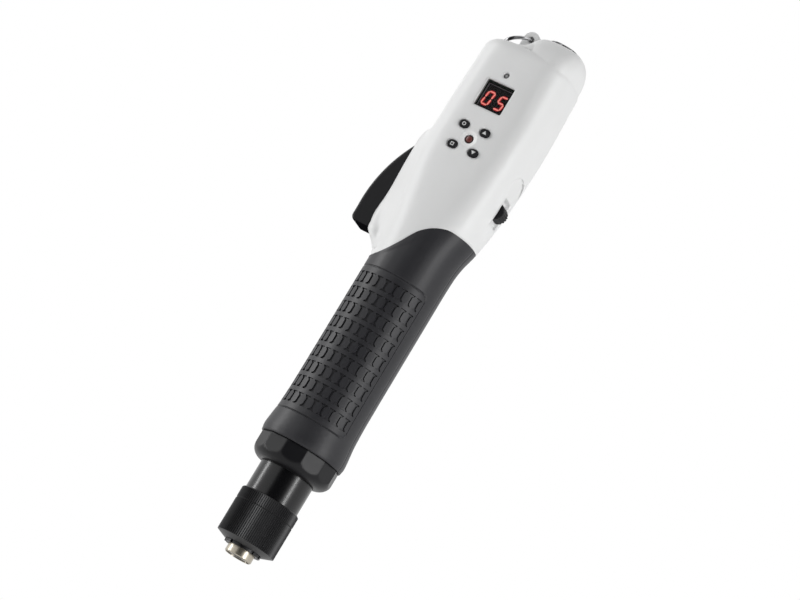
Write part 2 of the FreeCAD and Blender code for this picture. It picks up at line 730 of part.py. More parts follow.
def toothed(teeth, tip, root, play, low, high):
    """Toothed bar along Z with a tooth centred on +X, its teeth thinned by the play along the pitch circle."""
    pitch = MODULE * teeth / 2
    base = pitch * math.cos(math.radians(PRESSURE_ANGLE))
    thick = math.pi / (2 * teeth) - play / (4 * pitch) + involute(pitch, base)
    flank_start = max(root, base)
    radii = (flank_start, (flank_start + tip) / 2, tip)
    edges = []
    last = None
    first = None
    for i in range(teeth):
        middle = 2 * math.pi * i / teeth

        def spot(radius, side):
            turn = middle + side * (thick - involute(radius, base))
            return Vector(radius * math.cos(turn), radius * math.sin(turn), low)

        def foot(side):
            turn = middle + side * thick
            return Vector(root * math.cos(turn), root * math.sin(turn), low)

        rising = [spot(radius, -1) for radius in radii]
        falling = [spot(radius, 1) for radius in reversed(radii)]
        stops = [rising[0]]
        if root < base:
            stops.insert(0, foot(-1))
        if last is not None:
            edges.append(Part.makeLine(last, stops[0]))
        first = first or stops[0]
        if len(stops) == 2:
            edges.append(Part.makeLine(stops[0], stops[1]))
        edges.append(Part.Arc(*rising).toShape())
        edges.append(Part.makeLine(rising[2], falling[0]))
        edges.append(Part.Arc(*falling).toShape())
        last = falling[2]
        if root < base:
            edges.append(Part.makeLine(last, foot(1)))
            last = foot(1)
    edges.append(Part.makeLine(last, first))
    return Part.Face(Part.Wire(edges)).extrude(Vector(0, 0, high - low))


def outer_gear(teeth, low, high):
    pitch = MODULE * teeth / 2
    tip = pitch + MODULE * ADDENDUM_SHARE
    return toothed(teeth, tip, pitch - MODULE * DEDENDUM_SHARE, BACKLASH, low, high)


def ring_gear(low, high, floor):
    """Internal gear whose tooth spaces take the planets' outward teeth."""
    space_tip = MODULE * (RING_TEETH / 2 + DEDENDUM_SHARE)
    rim = upright(CASE_BORE - RUN_GAP, low, high)
    spaces = toothed(RING_TEETH, space_tip, RING_TIP, -BACKLASH, low + floor, high + OVERRUN)
    return rim.cut(spaces)


def clutch_ring_gear():
    gear = ring_gear(Z_RING_GEAR, Z_SPLIT, RING_GEAR_FLOOR)
    eye = upright(RING_GEAR_EYE, Z_RING_GEAR - OVERRUN, Z_RING_GEAR + RING_GEAR_FLOOR + OVERRUN)
    dimples = [Part.makeSphere(CLUTCH_BALL_RADIUS + RUN_GAP, place) for place in clutch_ball_places()]
    return gear.cut([eye] + dimples)


def first_ring_gear():
    return ring_gear(Z_SPLIT + GEAR_SIDE_GAP, Z_BELL, -OVERRUN)


def planet(number, low):
    """Planet on its pin: a tooth gap faces the sun's tooth and a tooth faces the ring's gap."""
    gear = outer_gear(PLANET_TEETH, low, low + GEAR_WIDTH)
    gear = gear.cut(upright(PLANET_PIN_RADIUS + RUN_GAP, low - OVERRUN, low + GEAR_WIDTH + OVERRUN))
    gear.translate(Vector(GEAR_CENTRES, 0, 0))
    return around_z(gear, 360 * number / PLANETS)


def carrier(low):
    """Plate with the planet pins on its upper side."""
    plate = upright(CARRIER_RADIUS, low, low + CARRIER_THICKNESS)
    pin = upright(PLANET_PIN_RADIUS, low, low + CARRIER_THICKNESS + 2 * GEAR_SIDE_GAP + GEAR_WIDTH, GEAR_CENTRES)
    return plate.fuse(repeated(pin, PLANETS))


def output_carrier():
    eye = upright(SPIGOT_RADIUS + RUN_GAP, Z_OUTPUT_CARRIER - OVERRUN, Z_SECOND_GEARS)
    return carrier(Z_OUTPUT_CARRIER).cut(eye).removeSplitter()


def first_carrier():
    sun = outer_gear(SUN_TEETH, Z_SECOND_GEARS, Z_FIRST_CARRIER)
    return carrier(Z_FIRST_CARRIER).fuse(sun).removeSplitter()


def gear_case():
    return tube(CASE_RADIUS, CASE_BORE, Z_NECK, Z_BELL)


# Brushless motor


def motor_bell(low, upside_down):
    """End bell with a bearing seat that opens into the motor."""
    bell = upright(CASE_RADIUS, low, low + BELL_THICKNESS)
    seat_low = low - OVERRUN if upside_down else low + BELL_FACE
    seat_high = low + BELL_THICKNESS - BELL_FACE if upside_down else low + BELL_THICKNESS + OVERRUN
    seat = upright(BEARING_RADIUS + RUN_GAP, seat_low, seat_high)
    eye = upright(BELL_EYE, low - OVERRUN, low + BELL_THICKNESS + OVERRUN)
    return bell.cut([seat, eye])


def motor_front_bell():
    return motor_bell(Z_BELL, False)


def motor_rear_bell():
    return motor_bell(Z_REAR_BELL, True)


def motor_bearings():
    height = BELL_THICKNESS - BELL_FACE
    lows = (Z_BELL + BELL_FACE, Z_REAR_BELL)
    return Part.Compound([tube(BEARING_RADIUS, SHAFT_RADIUS + RUN_GAP, low, low + height) for low in lows])


def motor_can():
    return tube(CAN_RADIUS, CAN_RADIUS - CAN_WALL, Z_CAN, Z_REAR_BELL)


def stator_core():
    high = Z_STATOR + STATOR_LENGTH
    outer = CAN_RADIUS - CAN_WALL - RUN_GAP
    ring = tube(outer, STATOR_BORE, Z_STATOR, high)
    room = tube(outer - STATOR_YOKE, STATOR_BORE + TOOTH_SHOE, Z_STATOR - OVERRUN, high + OVERRUN)
    limits = (Z_STATOR - OVERRUN, high + OVERRUN)
    tooth = block((0, outer), (-TOOTH_WIDTH / 2, TOOTH_WIDTH / 2), limits)
    mouth = block((0, outer - STATOR_YOKE), (-SHOE_MOUTH / 2, SHOE_MOUTH / 2), limits)
    mouths = [around_z(cut, 180 / STATOR_TEETH) for cut in repeated(mouth, STATOR_TEETH)]
    return ring.cut(room.cut(repeated(tooth, STATOR_TEETH))).cut(mouths)


def stator_coils():
    """One wound loop round each stator tooth."""
    inner = STATOR_BORE + TOOTH_SHOE + SEAT_GAP
    outer = CAN_RADIUS - CAN_WALL - STATOR_YOKE - COIL_BACK_GAP
    core_half = TOOTH_WIDTH / 2 + SEAT_GAP
    wide_half = core_half + COIL_THICKNESS
    low, high = Z_STATOR - COIL_OVERHANG, Z_STATOR + STATOR_LENGTH + COIL_OVERHANG
    loop = block((inner, outer), (-wide_half, wide_half), (low, high))
    eye = block(
        (inner - OVERRUN, outer + OVERRUN),
        (-core_half, core_half),
        (Z_STATOR - SEAT_GAP, Z_STATOR + STATOR_LENGTH + SEAT_GAP),
    )
    return Part.Compound(repeated(loop.cut(eye), STATOR_TEETH))


def rotor_magnet():
    radius = STATOR_BORE - MAGNET_AIR
    return tube(radius, SHAFT_RADIUS + RUN_GAP, Z_STATOR - SEAT_GAP, Z_STATOR + STATOR_LENGTH + SEAT_GAP)


def rotor_shaft():
    pinion = outer_gear(SUN_TEETH, Z_FIRST_GEARS, Z_BELL)
    nose = upright(PINION_SHAFT_RADIUS, Z_FIRST_GEARS, Z_BELL + BELL_FACE)
    shaft = upright(SHAFT_RADIUS, Z_BELL, Z_REAR_BELL + BELL_THICKNESS + SHAFT_TAIL)
    return pinion.fuse([nose, shaft]).removeSplitter()


# Outer form shared by the shells and the grip


def body_rows(inset, rows):
    """Height, left, right, depth and squareness of the body at rows of the share table, moved in by an inset."""
    outline = []
    for height, foot, left, right, depth, square in rows:
        radius = GRIP_RADIUS + foot * FOOT_FLARE - inset
        outline.append(
            (
                Z_GRIP + height * BODY_HEIGHT,
                radius + left * (HEAD_LEFT - GRIP_RADIUS),
                radius + right * (HEAD_RIGHT - GRIP_RADIUS),
                radius + depth * (HEAD_DEPTH - GRIP_RADIUS),
                2 + square * (HEAD_POWER - 2),
            )
        )
    return outline


def lofted(rows, centre=0.0):
    """Smooth solid through oval outlines."""
    return Part.makeLoft([oval(row[0], centre, *row[1:]) for row in rows], True, False)


def rounded_top(inset):
    """Rows that close the body over the shoulder along a quarter circle."""
    height, left, right, depth, power = body_rows(inset, BODY_SHARES[-1:])[0]
    radius = SHOULDER_ROUND - inset
    rows = []
    for step in range(1, TOP_STEPS + 1):
        turn = math.pi / 2 * step / TOP_STEPS
        tuck = radius * (1 - math.cos(turn))
        rows.append((height + radius * math.sin(turn), left - tuck, right - tuck, depth - tuck, power))
    return rows


def body(inset):
    return lofted(body_rows(inset, BODY_SHARES) + rounded_top(inset))


def boss():
    """Raised part of the top that carries the connector."""
    rows = []
    for height, left, right, depth in BOSS_SHARES:
        level = Z_TOP - BOSS_ROOT + height * (BOSS_ROOT + BOSS_RISE)
        rows.append((level, left * BOSS_LEFT, right * BOSS_RIGHT, depth * BOSS_DEPTH, BOSS_POWER))
    return lofted(rows, BOSS_CENTRE)


def pod():
    """Raised pod that the start lever sits in."""
    rows = []
    for height, reach in POD_SHARES:
        outward = reach * POD_REACH - POD_CENTRE
        rows.append((Z_GRIP + POD_FOOT + height * POD_HEIGHT, outward, POD_CENTRE, POD_DEPTH, POD_POWER))
    return lofted(rows, -POD_CENTRE)


def cavity():
    """Room inside the shells: a round bore under the rubber that opens out into the head."""
    start = body_rows(RUBBER + 2 * WALL, BODY_SHARES[CAVITY_ROW - 1 : CAVITY_ROW])
    under_grip = body_rows(RUBBER + WALL, BODY_SHARES[CAVITY_ROW:GRIPPED_ROWS])
    under_head = body_rows(WALL, BODY_SHARES[GRIPPED_ROWS:])
    head = lofted(start + under_grip + under_head + rounded_top(WALL))
    return head.fuse(upright(CORE_BORE, Z_NECK - OVERRUN, under_grip[0][0]))


def grip_zone(sink):
    """Everything below the rubber's sweeping upper edge, lowered by a small sink."""
    low = Z_GRIP + GRIP_LOW_EDGE - sink
    rise = GRIP_HIGH_EDGE - GRIP_LOW_EDGE
    edge = [Vector(x * GRIP_RADIUS, 0, low + lift * rise) for x, lift in GRIP_EDGE_SHARES]
    left, right = -2 * HEAD_LEFT, 2 * HEAD_RIGHT
    sweep = Part.BSplineCurve()
    sweep.interpolate(Points=edge, InitialTangent=Vector(1, 0, 0), FinalTangent=Vector(1, 0, 0))
    corners = [
        edge[-1],
        Vector(right, 0, edge[-1].z),
        Vector(right, 0, Z_NUT),
        Vector(left, 0, Z_NUT),
        Vector(left, 0, edge[0].z),
        edge[0],
    ]
    outline = Part.Wire([sweep.toShape()] + Part.makePolygon(corners).Edges)
    zone = Part.Face(outline).extrude(Vector(0, 4 * HEAD_DEPTH, 0))
    zone.translate(Vector(0, -2 * HEAD_DEPTH, 0))
    return zone


# Rubber grip


def slot_cutters():
    """Rows of upright slots on the front half."""
    cutter = block(
        (-SLOT_WIDTH / 2, SLOT_WIDTH / 2),
        (-GRIP_RADIUS - FOOT_FLARE, SLOT_DEPTH - GRIP_RADIUS),
        (0, SLOT_HEIGHT),
    )
    cutters = []
    for row in range(SLOT_ROWS):
        for column in range(SLOT_COLUMNS):
            slot = around_z(cutter, SLOT_FIRST_TURN - SLOT_TURN * column)
            slot.translate(Vector(0, 0, Z_GRIP + SLOT_FOOT + SLOT_PITCH * row))
            cutters.append(slot)
    return cutters


def outline_cutters():
    """Thin groove round the slotted panel on the front half."""
    inner, outer = GRIP_RADIUS - PANEL_GROOVE_DEPTH, GRIP_RADIUS + FOOT_FLARE
    low, high = Z_GRIP + PANEL_FOOT, Z_GRIP + PANEL_FOOT + PANEL_HEIGHT
    corner_turn = math.degrees(PANEL_CORNER / GRIP_RADIUS)
    sweep = PANEL_EDGE_TURN - corner_turn + 90
    half_groove = PANEL_GROOVE / 2
    cutters = []
    for level in (low, high):
        ring = Part.makeCylinder(outer, PANEL_GROOVE, Vector(0, 0, level - half_groove), Vector(0, 0, 1), sweep)
        ring = ring.cut(upright(inner, level - OVERRUN, level + OVERRUN))
        cutters.append(around_z(ring, -180))
    edge = block((-half_groove, half_groove), (-outer, -inner), (low + PANEL_CORNER, high - PANEL_CORNER))
    cutters.append(around_z(edge, PANEL_EDGE_TURN))
    for level, start in ((low + PANEL_CORNER, 270), (high - PANEL_CORNER, 0)):
        middle = Vector(0, -outer, level)
        bend = Part.makeCylinder(PANEL_CORNER + half_groove, outer - inner, middle, Vector(0, 1, 0))
        bend = bend.cut(Part.makeCylinder(PANEL_CORNER - half_groove, outer - inner, middle, Vector(0, 1, 0)))
        reach = PANEL_CORNER + OVERRUN
        upward = (level, level + reach) if start == 0 else (level - reach, level)
        bend = bend.common(block((0, reach), (-outer, -inner), upward))
        cutters.append(around_z(bend, PANEL_EDGE_TURN - corner_turn))
    return cutters


def grip_front():
    """Rubber between the outer form and the front shell. The rear grip is its mirror image."""
    room = grip_zone(BOND_GAP).cut(front_half(body(RUBBER - BOND_GAP)))
    blank = front_half(body(0)).common(room)
    return blank.cut(slot_cutters() + outline_cutters())


def retaining_nut():
    """Twelve-sided nut with a rounded lower end, screwed on the neck and holding the tube's flange."""
    corner = NUT_RADIUS / math.cos(math.pi / NUT_SIDES)
    start = Vector(corner, 0, Z_NUT)
    points = [Rotation(Vector(0, 0, 1), 360 * i / NUT_SIDES).multVec(start) for i in range(NUT_SIDES + 1)]
    sides = Part.Face(Part.makePolygon(points)).extrude(Vector(0, 0, NUT_HEIGHT))
    waist = corner - NUT_ROUND
    knee = math.sqrt(0.5) * NUT_ROUND
    low_arc = Part.Arc(
        Vector(waist, 0, Z_NUT),
        Vector(waist + knee, 0, Z_NUT + NUT_ROUND - knee),
        Vector(corner, 0, Z_NUT + NUT_ROUND),
    )
    rest = Part.makePolygon(
        [
            Vector(corner, 0, Z_NUT + NUT_ROUND),
            Vector(corner, 0, Z_GRIP - NUT_TOP_EDGE),
            Vector(corner - NUT_TOP_EDGE, 0, Z_GRIP),
            Vector(0, 0, Z_GRIP),
            Vector(0, 0, Z_NUT),
            Vector(waist, 0, Z_NUT),
        ]
    )
    envelope = Part.Face(Part.Wire([low_arc.toShape()] + rest.Edges)).revolve(Vector(), Vector(0, 0, 1), 360)
    eye = upright(TUBE_RADIUS + SEAT_GAP, Z_NUT - OVERRUN, Z_GRIP)
    thread = upright(NECK_RADIUS + SEAT_GAP, Z_FLANGE, Z_GRIP + OVERRUN)
    return sides.common(envelope).cut([eye, thread])


# Start lever and its switch


def lever_outline(grow):
    """Side view of the lever about its pivot, in X and Z, grown inside its slot by a clearance."""
    pivot = Vector(-PIVOT_SIDE, 0, Z_PIVOT)

    def at(x, z):
        return pivot + Vector(x, 0, z)

    low = -LEVER_DROP - grow
    tip = -LEVER_TIP_REACH - grow
    eye = LEVER_EYE_RADIUS + grow
    brow = at(-eye, eye)
    bulge_share, bulge_drop_share = 0.86, 0.37
    bulge = at(tip * bulge_share, low * bulge_drop_share)
    flank = at(tip, low + LEVER_TIP_ROUND + eye)
    toe = at(tip + LEVER_TIP_ROUND, low)
    corner = math.sqrt(0.5) * LEVER_TIP_ROUND
    knuckle = at(tip + LEVER_TIP_ROUND - corner, low + LEVER_TIP_ROUND - corner)
    ankle = at(tip, low + LEVER_TIP_ROUND)
    rest = [
        toe,
        at(-LEVER_FOOT, low),
        at(-LEVER_HEEL, -LEVER_ARM_DROP - eye),
        at(LEVER_ARM, -LEVER_ARM_DROP),
        at(LEVER_ARM, 0),
        at(0, eye),
        brow,
    ]
    edges = [Part.Arc(brow, bulge, flank).toShape(), Part.makeLine(flank, ankle)]
    edges.append(Part.Arc(ankle, knuckle, toe).toShape())
    return Part.Wire(edges + Part.makePolygon(rest).Edges)


def start_lever():
    face = Part.Face(lever_outline(0))
    face.translate(Vector(0, -LEVER_HALF_WIDTH, 0))
    lever = face.extrude(Vector(0, 2 * LEVER_HALF_WIDTH, 0))
    outer = [
        edge
        for edge in lever.Edges
        if edge.BoundBox.YLength < RUN_GAP and edge.CenterOfMass.x < -PIVOT_SIDE - LEVER_EYE_RADIUS - LEVER_EDGE
        and edge.BoundBox.XMin < -PIVOT_SIDE - LEVER_FOOT - LEVER_EDGE
    ]
    lever = lever.makeFillet(LEVER_EDGE, outer)
    eye = lying(LEVER_PIN_RADIUS + RUN_GAP, -LEVER_HALF_WIDTH - OVERRUN, LEVER_HALF_WIDTH + OVERRUN, -PIVOT_SIDE, Z_PIVOT)
    return lever.cut(eye)


def lever_pin():
    reach = LEVER_HALF_WIDTH + LEVER_PIN_OVERLAP
    return lying(LEVER_PIN_RADIUS, -reach, reach, -PIVOT_SIDE, Z_PIVOT)


def lever_room():
    """Slot in the pod for the lever, with a well behind its arm for the switch plunger."""
    half_width = LEVER_HALF_WIDTH + FREE_GAP
    sides = (-half_width, half_width)
    outside = -2 * POD_REACH
    low, high = Z_PIVOT - LEVER_DROP - LEVER_SLOT_FOOT, Z_PIVOT + LEVER_SLOT_RISE
    slot = block((outside, -LEVER_SLOT_BACK), sides, (low, high))
    well_low = Z_PIVOT - LEVER_ARM_DROP - LEVER_EYE_RADIUS
    well = block((outside, -LEVER_WELL_BACK), sides, (well_low, high))
    return slot.fuse(well)


def lever_face_at(drop):
    """X of the lever's inner edge at a drop below the pivot, along its straight lower stretch."""
    top_drop = LEVER_ARM_DROP + LEVER_EYE_RADIUS
    share = (drop - top_drop) / (LEVER_DROP - top_drop)
    return -PIVOT_SIDE - LEVER_HEEL - share * (LEVER_FOOT - LEVER_HEEL)


def lever_spring():
    reach = -lever_face_at(LEVER_SPRING_DROP - LEVER_SPRING_RADIUS - LEVER_WIRE_RADIUS)
    seat = LEVER_SLOT_BACK - LEVER_SPRING_SINK
    spring = coil(seat, reach, LEVER_SPRING_RADIUS, LEVER_WIRE_RADIUS, LEVER_SPRING_TURNS)
    spring.rotate(Vector(), Vector(0, 1, 0), -90)
    spring.translate(Vector(0, 0, Z_PIVOT - LEVER_SPRING_DROP))
    return spring


def spring_pocket():
    """Round pocket for the lever spring in the back wall of the slot."""
    radius = LEVER_SPRING_RADIUS + LEVER_WIRE_RADIUS + FREE_GAP
    start = Vector(-LEVER_SLOT_BACK + LEVER_SPRING_SINK, 0, Z_PIVOT - LEVER_SPRING_DROP)
    return Part.makeCylinder(radius, LEVER_SPRING_SINK + OVERRUN, start, Vector(-1, 0, 0))


PLUNGER_TIP = PIVOT_SIDE - LEVER_ARM - SEAT_GAP
SWITCH_OUTER = PLUNGER_TIP - PLUNGER_SHOWN


def start_switch():
    sides = (-SWITCH_HALF_DEPTH, SWITCH_HALF_DEPTH)
    case = block(
        (-SWITCH_OUTER, -SWITCH_OUTER + SWITCH_WIDTH),
        sides,
        (Z_PLUNGER - SWITCH_HEIGHT / 2, Z_PLUNGER + SWITCH_HEIGHT / 2),
    )
    depth = PLUNGER_LENGTH - PLUNGER_SHOWN + PLUNGER_TRAVEL + FREE_GAP
    hole = Part.makeCylinder(
        PLUNGER_RADIUS + RUN_GAP,
        depth + OVERRUN,
        Vector(-SWITCH_OUTER - OVERRUN, 0, Z_PLUNGER),
        Vector(1, 0, 0),
    )
    return case.cut([hole] + switch_posts(SWITCH_POST_RADIUS + RUN_GAP))


def switch_posts(radius):
    """Two posts of the rear shell that the start switch sits on."""
    middle = -SWITCH_OUTER + SWITCH_WIDTH / 2
    levels = (Z_PLUNGER - SWITCH_POST_SPAN / 2, Z_PLUNGER + SWITCH_POST_SPAN / 2)
    return [lying(radius, -SWITCH_HALF_DEPTH, FRONT_INNER, middle, level) for level in levels]


def start_plunger():
    shank = PLUNGER_LENGTH - PLUNGER_RADIUS
    body_cylinder = Part.makeCylinder(
        PLUNGER_RADIUS, shank, Vector(-PLUNGER_TIP + PLUNGER_RADIUS, 0, Z_PLUNGER), Vector(1, 0, 0)
    )
    dome = Part.makeSphere(PLUNGER_RADIUS, Vector(-PLUNGER_TIP + PLUNGER_RADIUS, 0, Z_PLUNGER))
    return body_cylinder.fuse(dome).removeSplitter()


# Reverse switch


def recess():
    """Hollow with sloped ends in the switch side, and the slot for the knob's stem."""
    half_length = RECESS_LENGTH / 2
    mouth = half_length + RECESS_SLOPE
    points = [
        Vector(RECESS_SIDE, 0, Z_REVERSE - half_length),
        Vector(RECESS_SIDE, 0, Z_REVERSE + half_length),
        Vector(RECESS_SIDE + RECESS_RISE, 0, Z_REVERSE + mouth),
        Vector(RECESS_SIDE + RECESS_RISE, 0, Z_REVERSE - mouth),
    ]
    hollow = Part.Face(Part.makePolygon(points + points[:1])).extrude(Vector(0, 2 * RECESS_HALF_WIDTH, 0))
    hollow.translate(Vector(0, -RECESS_HALF_WIDTH, 0))
    stem_half = STEM_HALF_WIDTH + FREE_GAP
    stem_run = STEM_HALF_LENGTH + KNOB_TRAVEL + FREE_GAP
    slot = block(
        (RECESS_SIDE - RECESS_FLOOR - OVERRUN, RECESS_SIDE + OVERRUN),
        (-stem_half, stem_half),
        (Z_REVERSE - stem_run, Z_REVERSE + stem_run),
    )
    return hollow.fuse(slot)


def recess_backing():
    """Thick patch of wall behind the recess floor."""
    half_length = RECESS_LENGTH / 2 + RECESS_SLOPE
    return block(
        (RECESS_SIDE - RECESS_FLOOR, RECESS_SIDE + RECESS_SLOPE),
        (-RECESS_HALF_WIDTH - WALL, RECESS_HALF_WIDTH + WALL),
        (Z_REVERSE - half_length, Z_REVERSE + half_length),
    )


def thumb_scoop():
    """Shallow flat hollow with an arched top round the recess for the thumb."""
    spring_line = Z_REVERSE + SCOOP_RISE - SCOOP_HALF_WIDTH
    arch = Part.makeCylinder(SCOOP_HALF_WIDTH, HEAD_RIGHT, Vector(SCOOP_SIDE, 0, spring_line), Vector(1, 0, 0))
    below = block(
        (SCOOP_SIDE, SCOOP_SIDE + HEAD_RIGHT),
        (-SCOOP_HALF_WIDTH, SCOOP_HALF_WIDTH),
        (Z_REVERSE - SCOOP_RISE, spring_line),
    )
    return arch.fuse(below).removeSplitter()


def reverse_knob():
    """Thumb slide with a ribbed round back, a sliding plate and a stem into the switch."""
    floor = RECESS_SIDE + SEAT_GAP
    half_length = KNOB_LENGTH / 2
    shoulder = floor + KNOB_PLATE
    crest = floor + KNOB_RISE
    back = Part.Arc(
        Vector(shoulder, 0, Z_REVERSE - half_length),
        Vector(crest, 0, Z_REVERSE),
        Vector(shoulder, 0, Z_REVERSE + half_length),
    )
    base = Part.makePolygon(
        [
            Vector(shoulder, 0, Z_REVERSE + half_length),
            Vector(floor, 0, Z_REVERSE + half_length),
            Vector(floor, 0, Z_REVERSE - half_length),
            Vector(shoulder, 0, Z_REVERSE - half_length),
        ]
    )
    outline = Part.Face(Part.Wire([back.toShape()] + base.Edges))
    knob = outline.extrude(Vector(0, 2 * KNOB_HALF_WIDTH, 0))
    knob.translate(Vector(0, -KNOB_HALF_WIDTH, 0))
    pitch = KNOB_LENGTH / (KNOB_RIBS + 1)
    swing_radius = (half_length**2 + (KNOB_RISE - KNOB_PLATE) ** 2) / (2 * (KNOB_RISE - KNOB_PLATE))
    grooves = []
    for i in range(KNOB_RIBS):
        offset = pitch * (i - (KNOB_RIBS - 1) / 2)
        surface = crest - swing_radius + math.sqrt(swing_radius**2 - offset**2)
        grooves.append(lying(KNOB_RIB_DEPTH, -KNOB_HALF_WIDTH - OVERRUN, KNOB_HALF_WIDTH + OVERRUN, surface, Z_REVERSE + offset))
    stem = block(
        (floor - STEM_LENGTH, floor + KNOB_PLATE),
        (-STEM_HALF_WIDTH, STEM_HALF_WIDTH),
        (Z_REVERSE - STEM_HALF_LENGTH, Z_REVERSE + STEM_HALF_LENGTH),
    )
    return knob.cut(grooves).fuse(stem).removeSplitter()


def reverse_switch():
    face = RECESS_SIDE - RECESS_FLOOR - SEAT_GAP
    sides = (-REVERSE_BODY_HALF_DEPTH, REVERSE_BODY_HALF_DEPTH)
    half_length = REVERSE_BODY_LENGTH / 2
    case = block((face - REVERSE_BODY_WIDTH, face), sides, (Z_REVERSE - half_length, Z_REVERSE + half_length))
    stem_half = STEM_HALF_WIDTH + SEAT_GAP
    stem_run = STEM_HALF_LENGTH + KNOB_TRAVEL + FREE_GAP
    slot = block(
        (RECESS_SIDE - STEM_LENGTH - FREE_GAP, face + OVERRUN),
        (-stem_half, stem_half),
        (Z_REVERSE - stem_run, Z_REVERSE + stem_run),
    )
    return case.cut(slot)


# Display, keypad and boards


def key_places():
    """X and Z of the four keys: upper left, lower left, upper right, lower right."""
    places = []
    for side in (-1, 1):
        for level in (1, -1):
            places.append((side * KEY_HALF_PITCH_X, Z_KEYPAD + level * KEY_HALF_PITCH_Z))
    return places


def key_bar(grow, start, end, x, z):
    """Oval bar along Y."""
    half_height = KEY_HALF_HEIGHT + grow
    straight = KEY_HALF_WIDTH - KEY_HALF_HEIGHT
    ends = [lying(half_height, start, end, x + side * straight, z) for side in (-1, 1)]
    middle = block((x - straight, x + straight), sorted((start, end)), (z - half_height, z + half_height))
    return middle.fuse(ends).removeSplitter()


def button(index):
    x, z = key_places()[index]
    flange_face = -FRONT_INNER + SEAT_GAP
    cap = key_bar(0, -HEAD_DEPTH - KEY_PROUD, flange_face + KEY_FLANGE_THICKNESS, x, z)
    rim = [edge for edge in cap.Edges if edge.BoundBox.YMax < -HEAD_DEPTH]
    cap = cap.makeFillet(KEY_CROWN, rim)
    flange = key_bar(KEY_FLANGE, flange_face, flange_face + KEY_FLANGE_THICKNESS, x, z)
    return cap.fuse(flange).removeSplitter()


def keypad_pocket():
    """Flat seat for the button flanges on the inside of the front wall."""
    half_width = KEY_HALF_PITCH_X + KEY_HALF_WIDTH + KEY_FLANGE + FREE_GAP
    half_height = KEY_HALF_PITCH_Z + KEY_HALF_HEIGHT + KEY_FLANGE + FREE_GAP
    return block(
        (-half_width, half_width),
        (-FRONT_INNER, -BOARD_FACE),
        (Z_KEYPAD - half_height, Z_KEYPAD + half_height),
    )


def window(grow, start, end):
    """Rounded rectangular bar along Y at the display."""
    half_width, half_height = DISPLAY_WIDTH / 2 + grow, DISPLAY_HEIGHT / 2 + grow
    bar = block((-half_width, half_width), sorted((start, end)), (Z_DISPLAY - half_height, Z_DISPLAY + half_height))
    corners = [edge for edge in bar.Edges if edge.BoundBox.XLength + edge.BoundBox.ZLength < RUN_GAP]
    return bar.makeFillet(DISPLAY_ROUND, corners)


LENS_FACE = HEAD_DEPTH - DISPLAY_SINK


def display_window():
    return window(-SEAT_GAP, -LENS_FACE, -LENS_FACE + LENS_THICKNESS)


def display_module():
    half_width, half_height = DISPLAY_WIDTH / 2 - MODULE_RIM, DISPLAY_HEIGHT / 2 - MODULE_RIM
    return block(
        (-half_width, half_width),
        (-LENS_FACE + LENS_THICKNESS + SEAT_GAP, -BOARD_FACE),
        (Z_DISPLAY - half_height, Z_DISPLAY + half_height),
    )


def lamp_dish():
    """Cone that dishes the wall round the status lamp, run past the wall on both sides."""
    slope = (LAMP_DISH_RADIUS - LAMP_RADIUS - SEAT_GAP) / LAMP_DISH_DEPTH
    wide = LAMP_DISH_RADIUS + slope * OVERRUN
    narrow = LAMP_RADIUS + SEAT_GAP - slope * SEAT_GAP
    start = Vector(0, -HEAD_DEPTH - OVERRUN, Z_KEYPAD)
    return Part.makeCone(wide, narrow, OVERRUN + LAMP_DISH_DEPTH + SEAT_GAP, start, Vector(0, 1, 0))


def board_posts(half_width, low, high, inset, radius, start, end):
    """Four posts along Y under the corners of a board."""
    posts = []
    for x in (-half_width + inset, half_width - inset):
        for z in (low + inset, high - inset):
            posts.append(lying(radius, start, end, x, z))
    return posts


def display_board():
    """Board behind the front wall with one key switch under each button."""
    high = Z_SHOULDER - BOARD_TOP_DROP
    board = block(
        (-BOARD_HALF_WIDTH, BOARD_HALF_WIDTH),
        (-BOARD_FACE, -BOARD_FACE + BOARD_THICKNESS),
        (high - BOARD_HEIGHT, high),
    )
    stem_face = -FRONT_INNER + SEAT_GAP + KEY_FLANGE_THICKNESS + KEY_TRAVEL + SEAT_GAP
    switches = []
    for x, z in key_places():
        case_face = (stem_face - BOARD_FACE) / 2
        case = block(
            (x - KEY_SWITCH_HALF, x + KEY_SWITCH_HALF),
            (case_face, -BOARD_FACE),
            (z - KEY_SWITCH_HALF, z + KEY_SWITCH_HALF),
        )
        switches.append(case.fuse(lying(KEY_STEM_RADIUS, stem_face, case_face, x, z)))
    return Part.Compound([board] + switches)


def lamp(radius, z, proud):
    """Round-nosed lens along Y from the front of the head to the display board."""
    tip = -HEAD_DEPTH - proud
    body_bar = lying(radius, tip + radius, -BOARD_FACE, 0, z)
    nose = Part.makeSphere(radius, Vector(0, tip + radius, z))
    return body_bar.fuse(nose).removeSplitter()


def status_lamp():
    return lamp(LAMP_RADIUS, Z_KEYPAD, -SEAT_GAP)


def ready_lamp():
    return lamp(READY_RADIUS, Z_READY, -FREE_GAP)


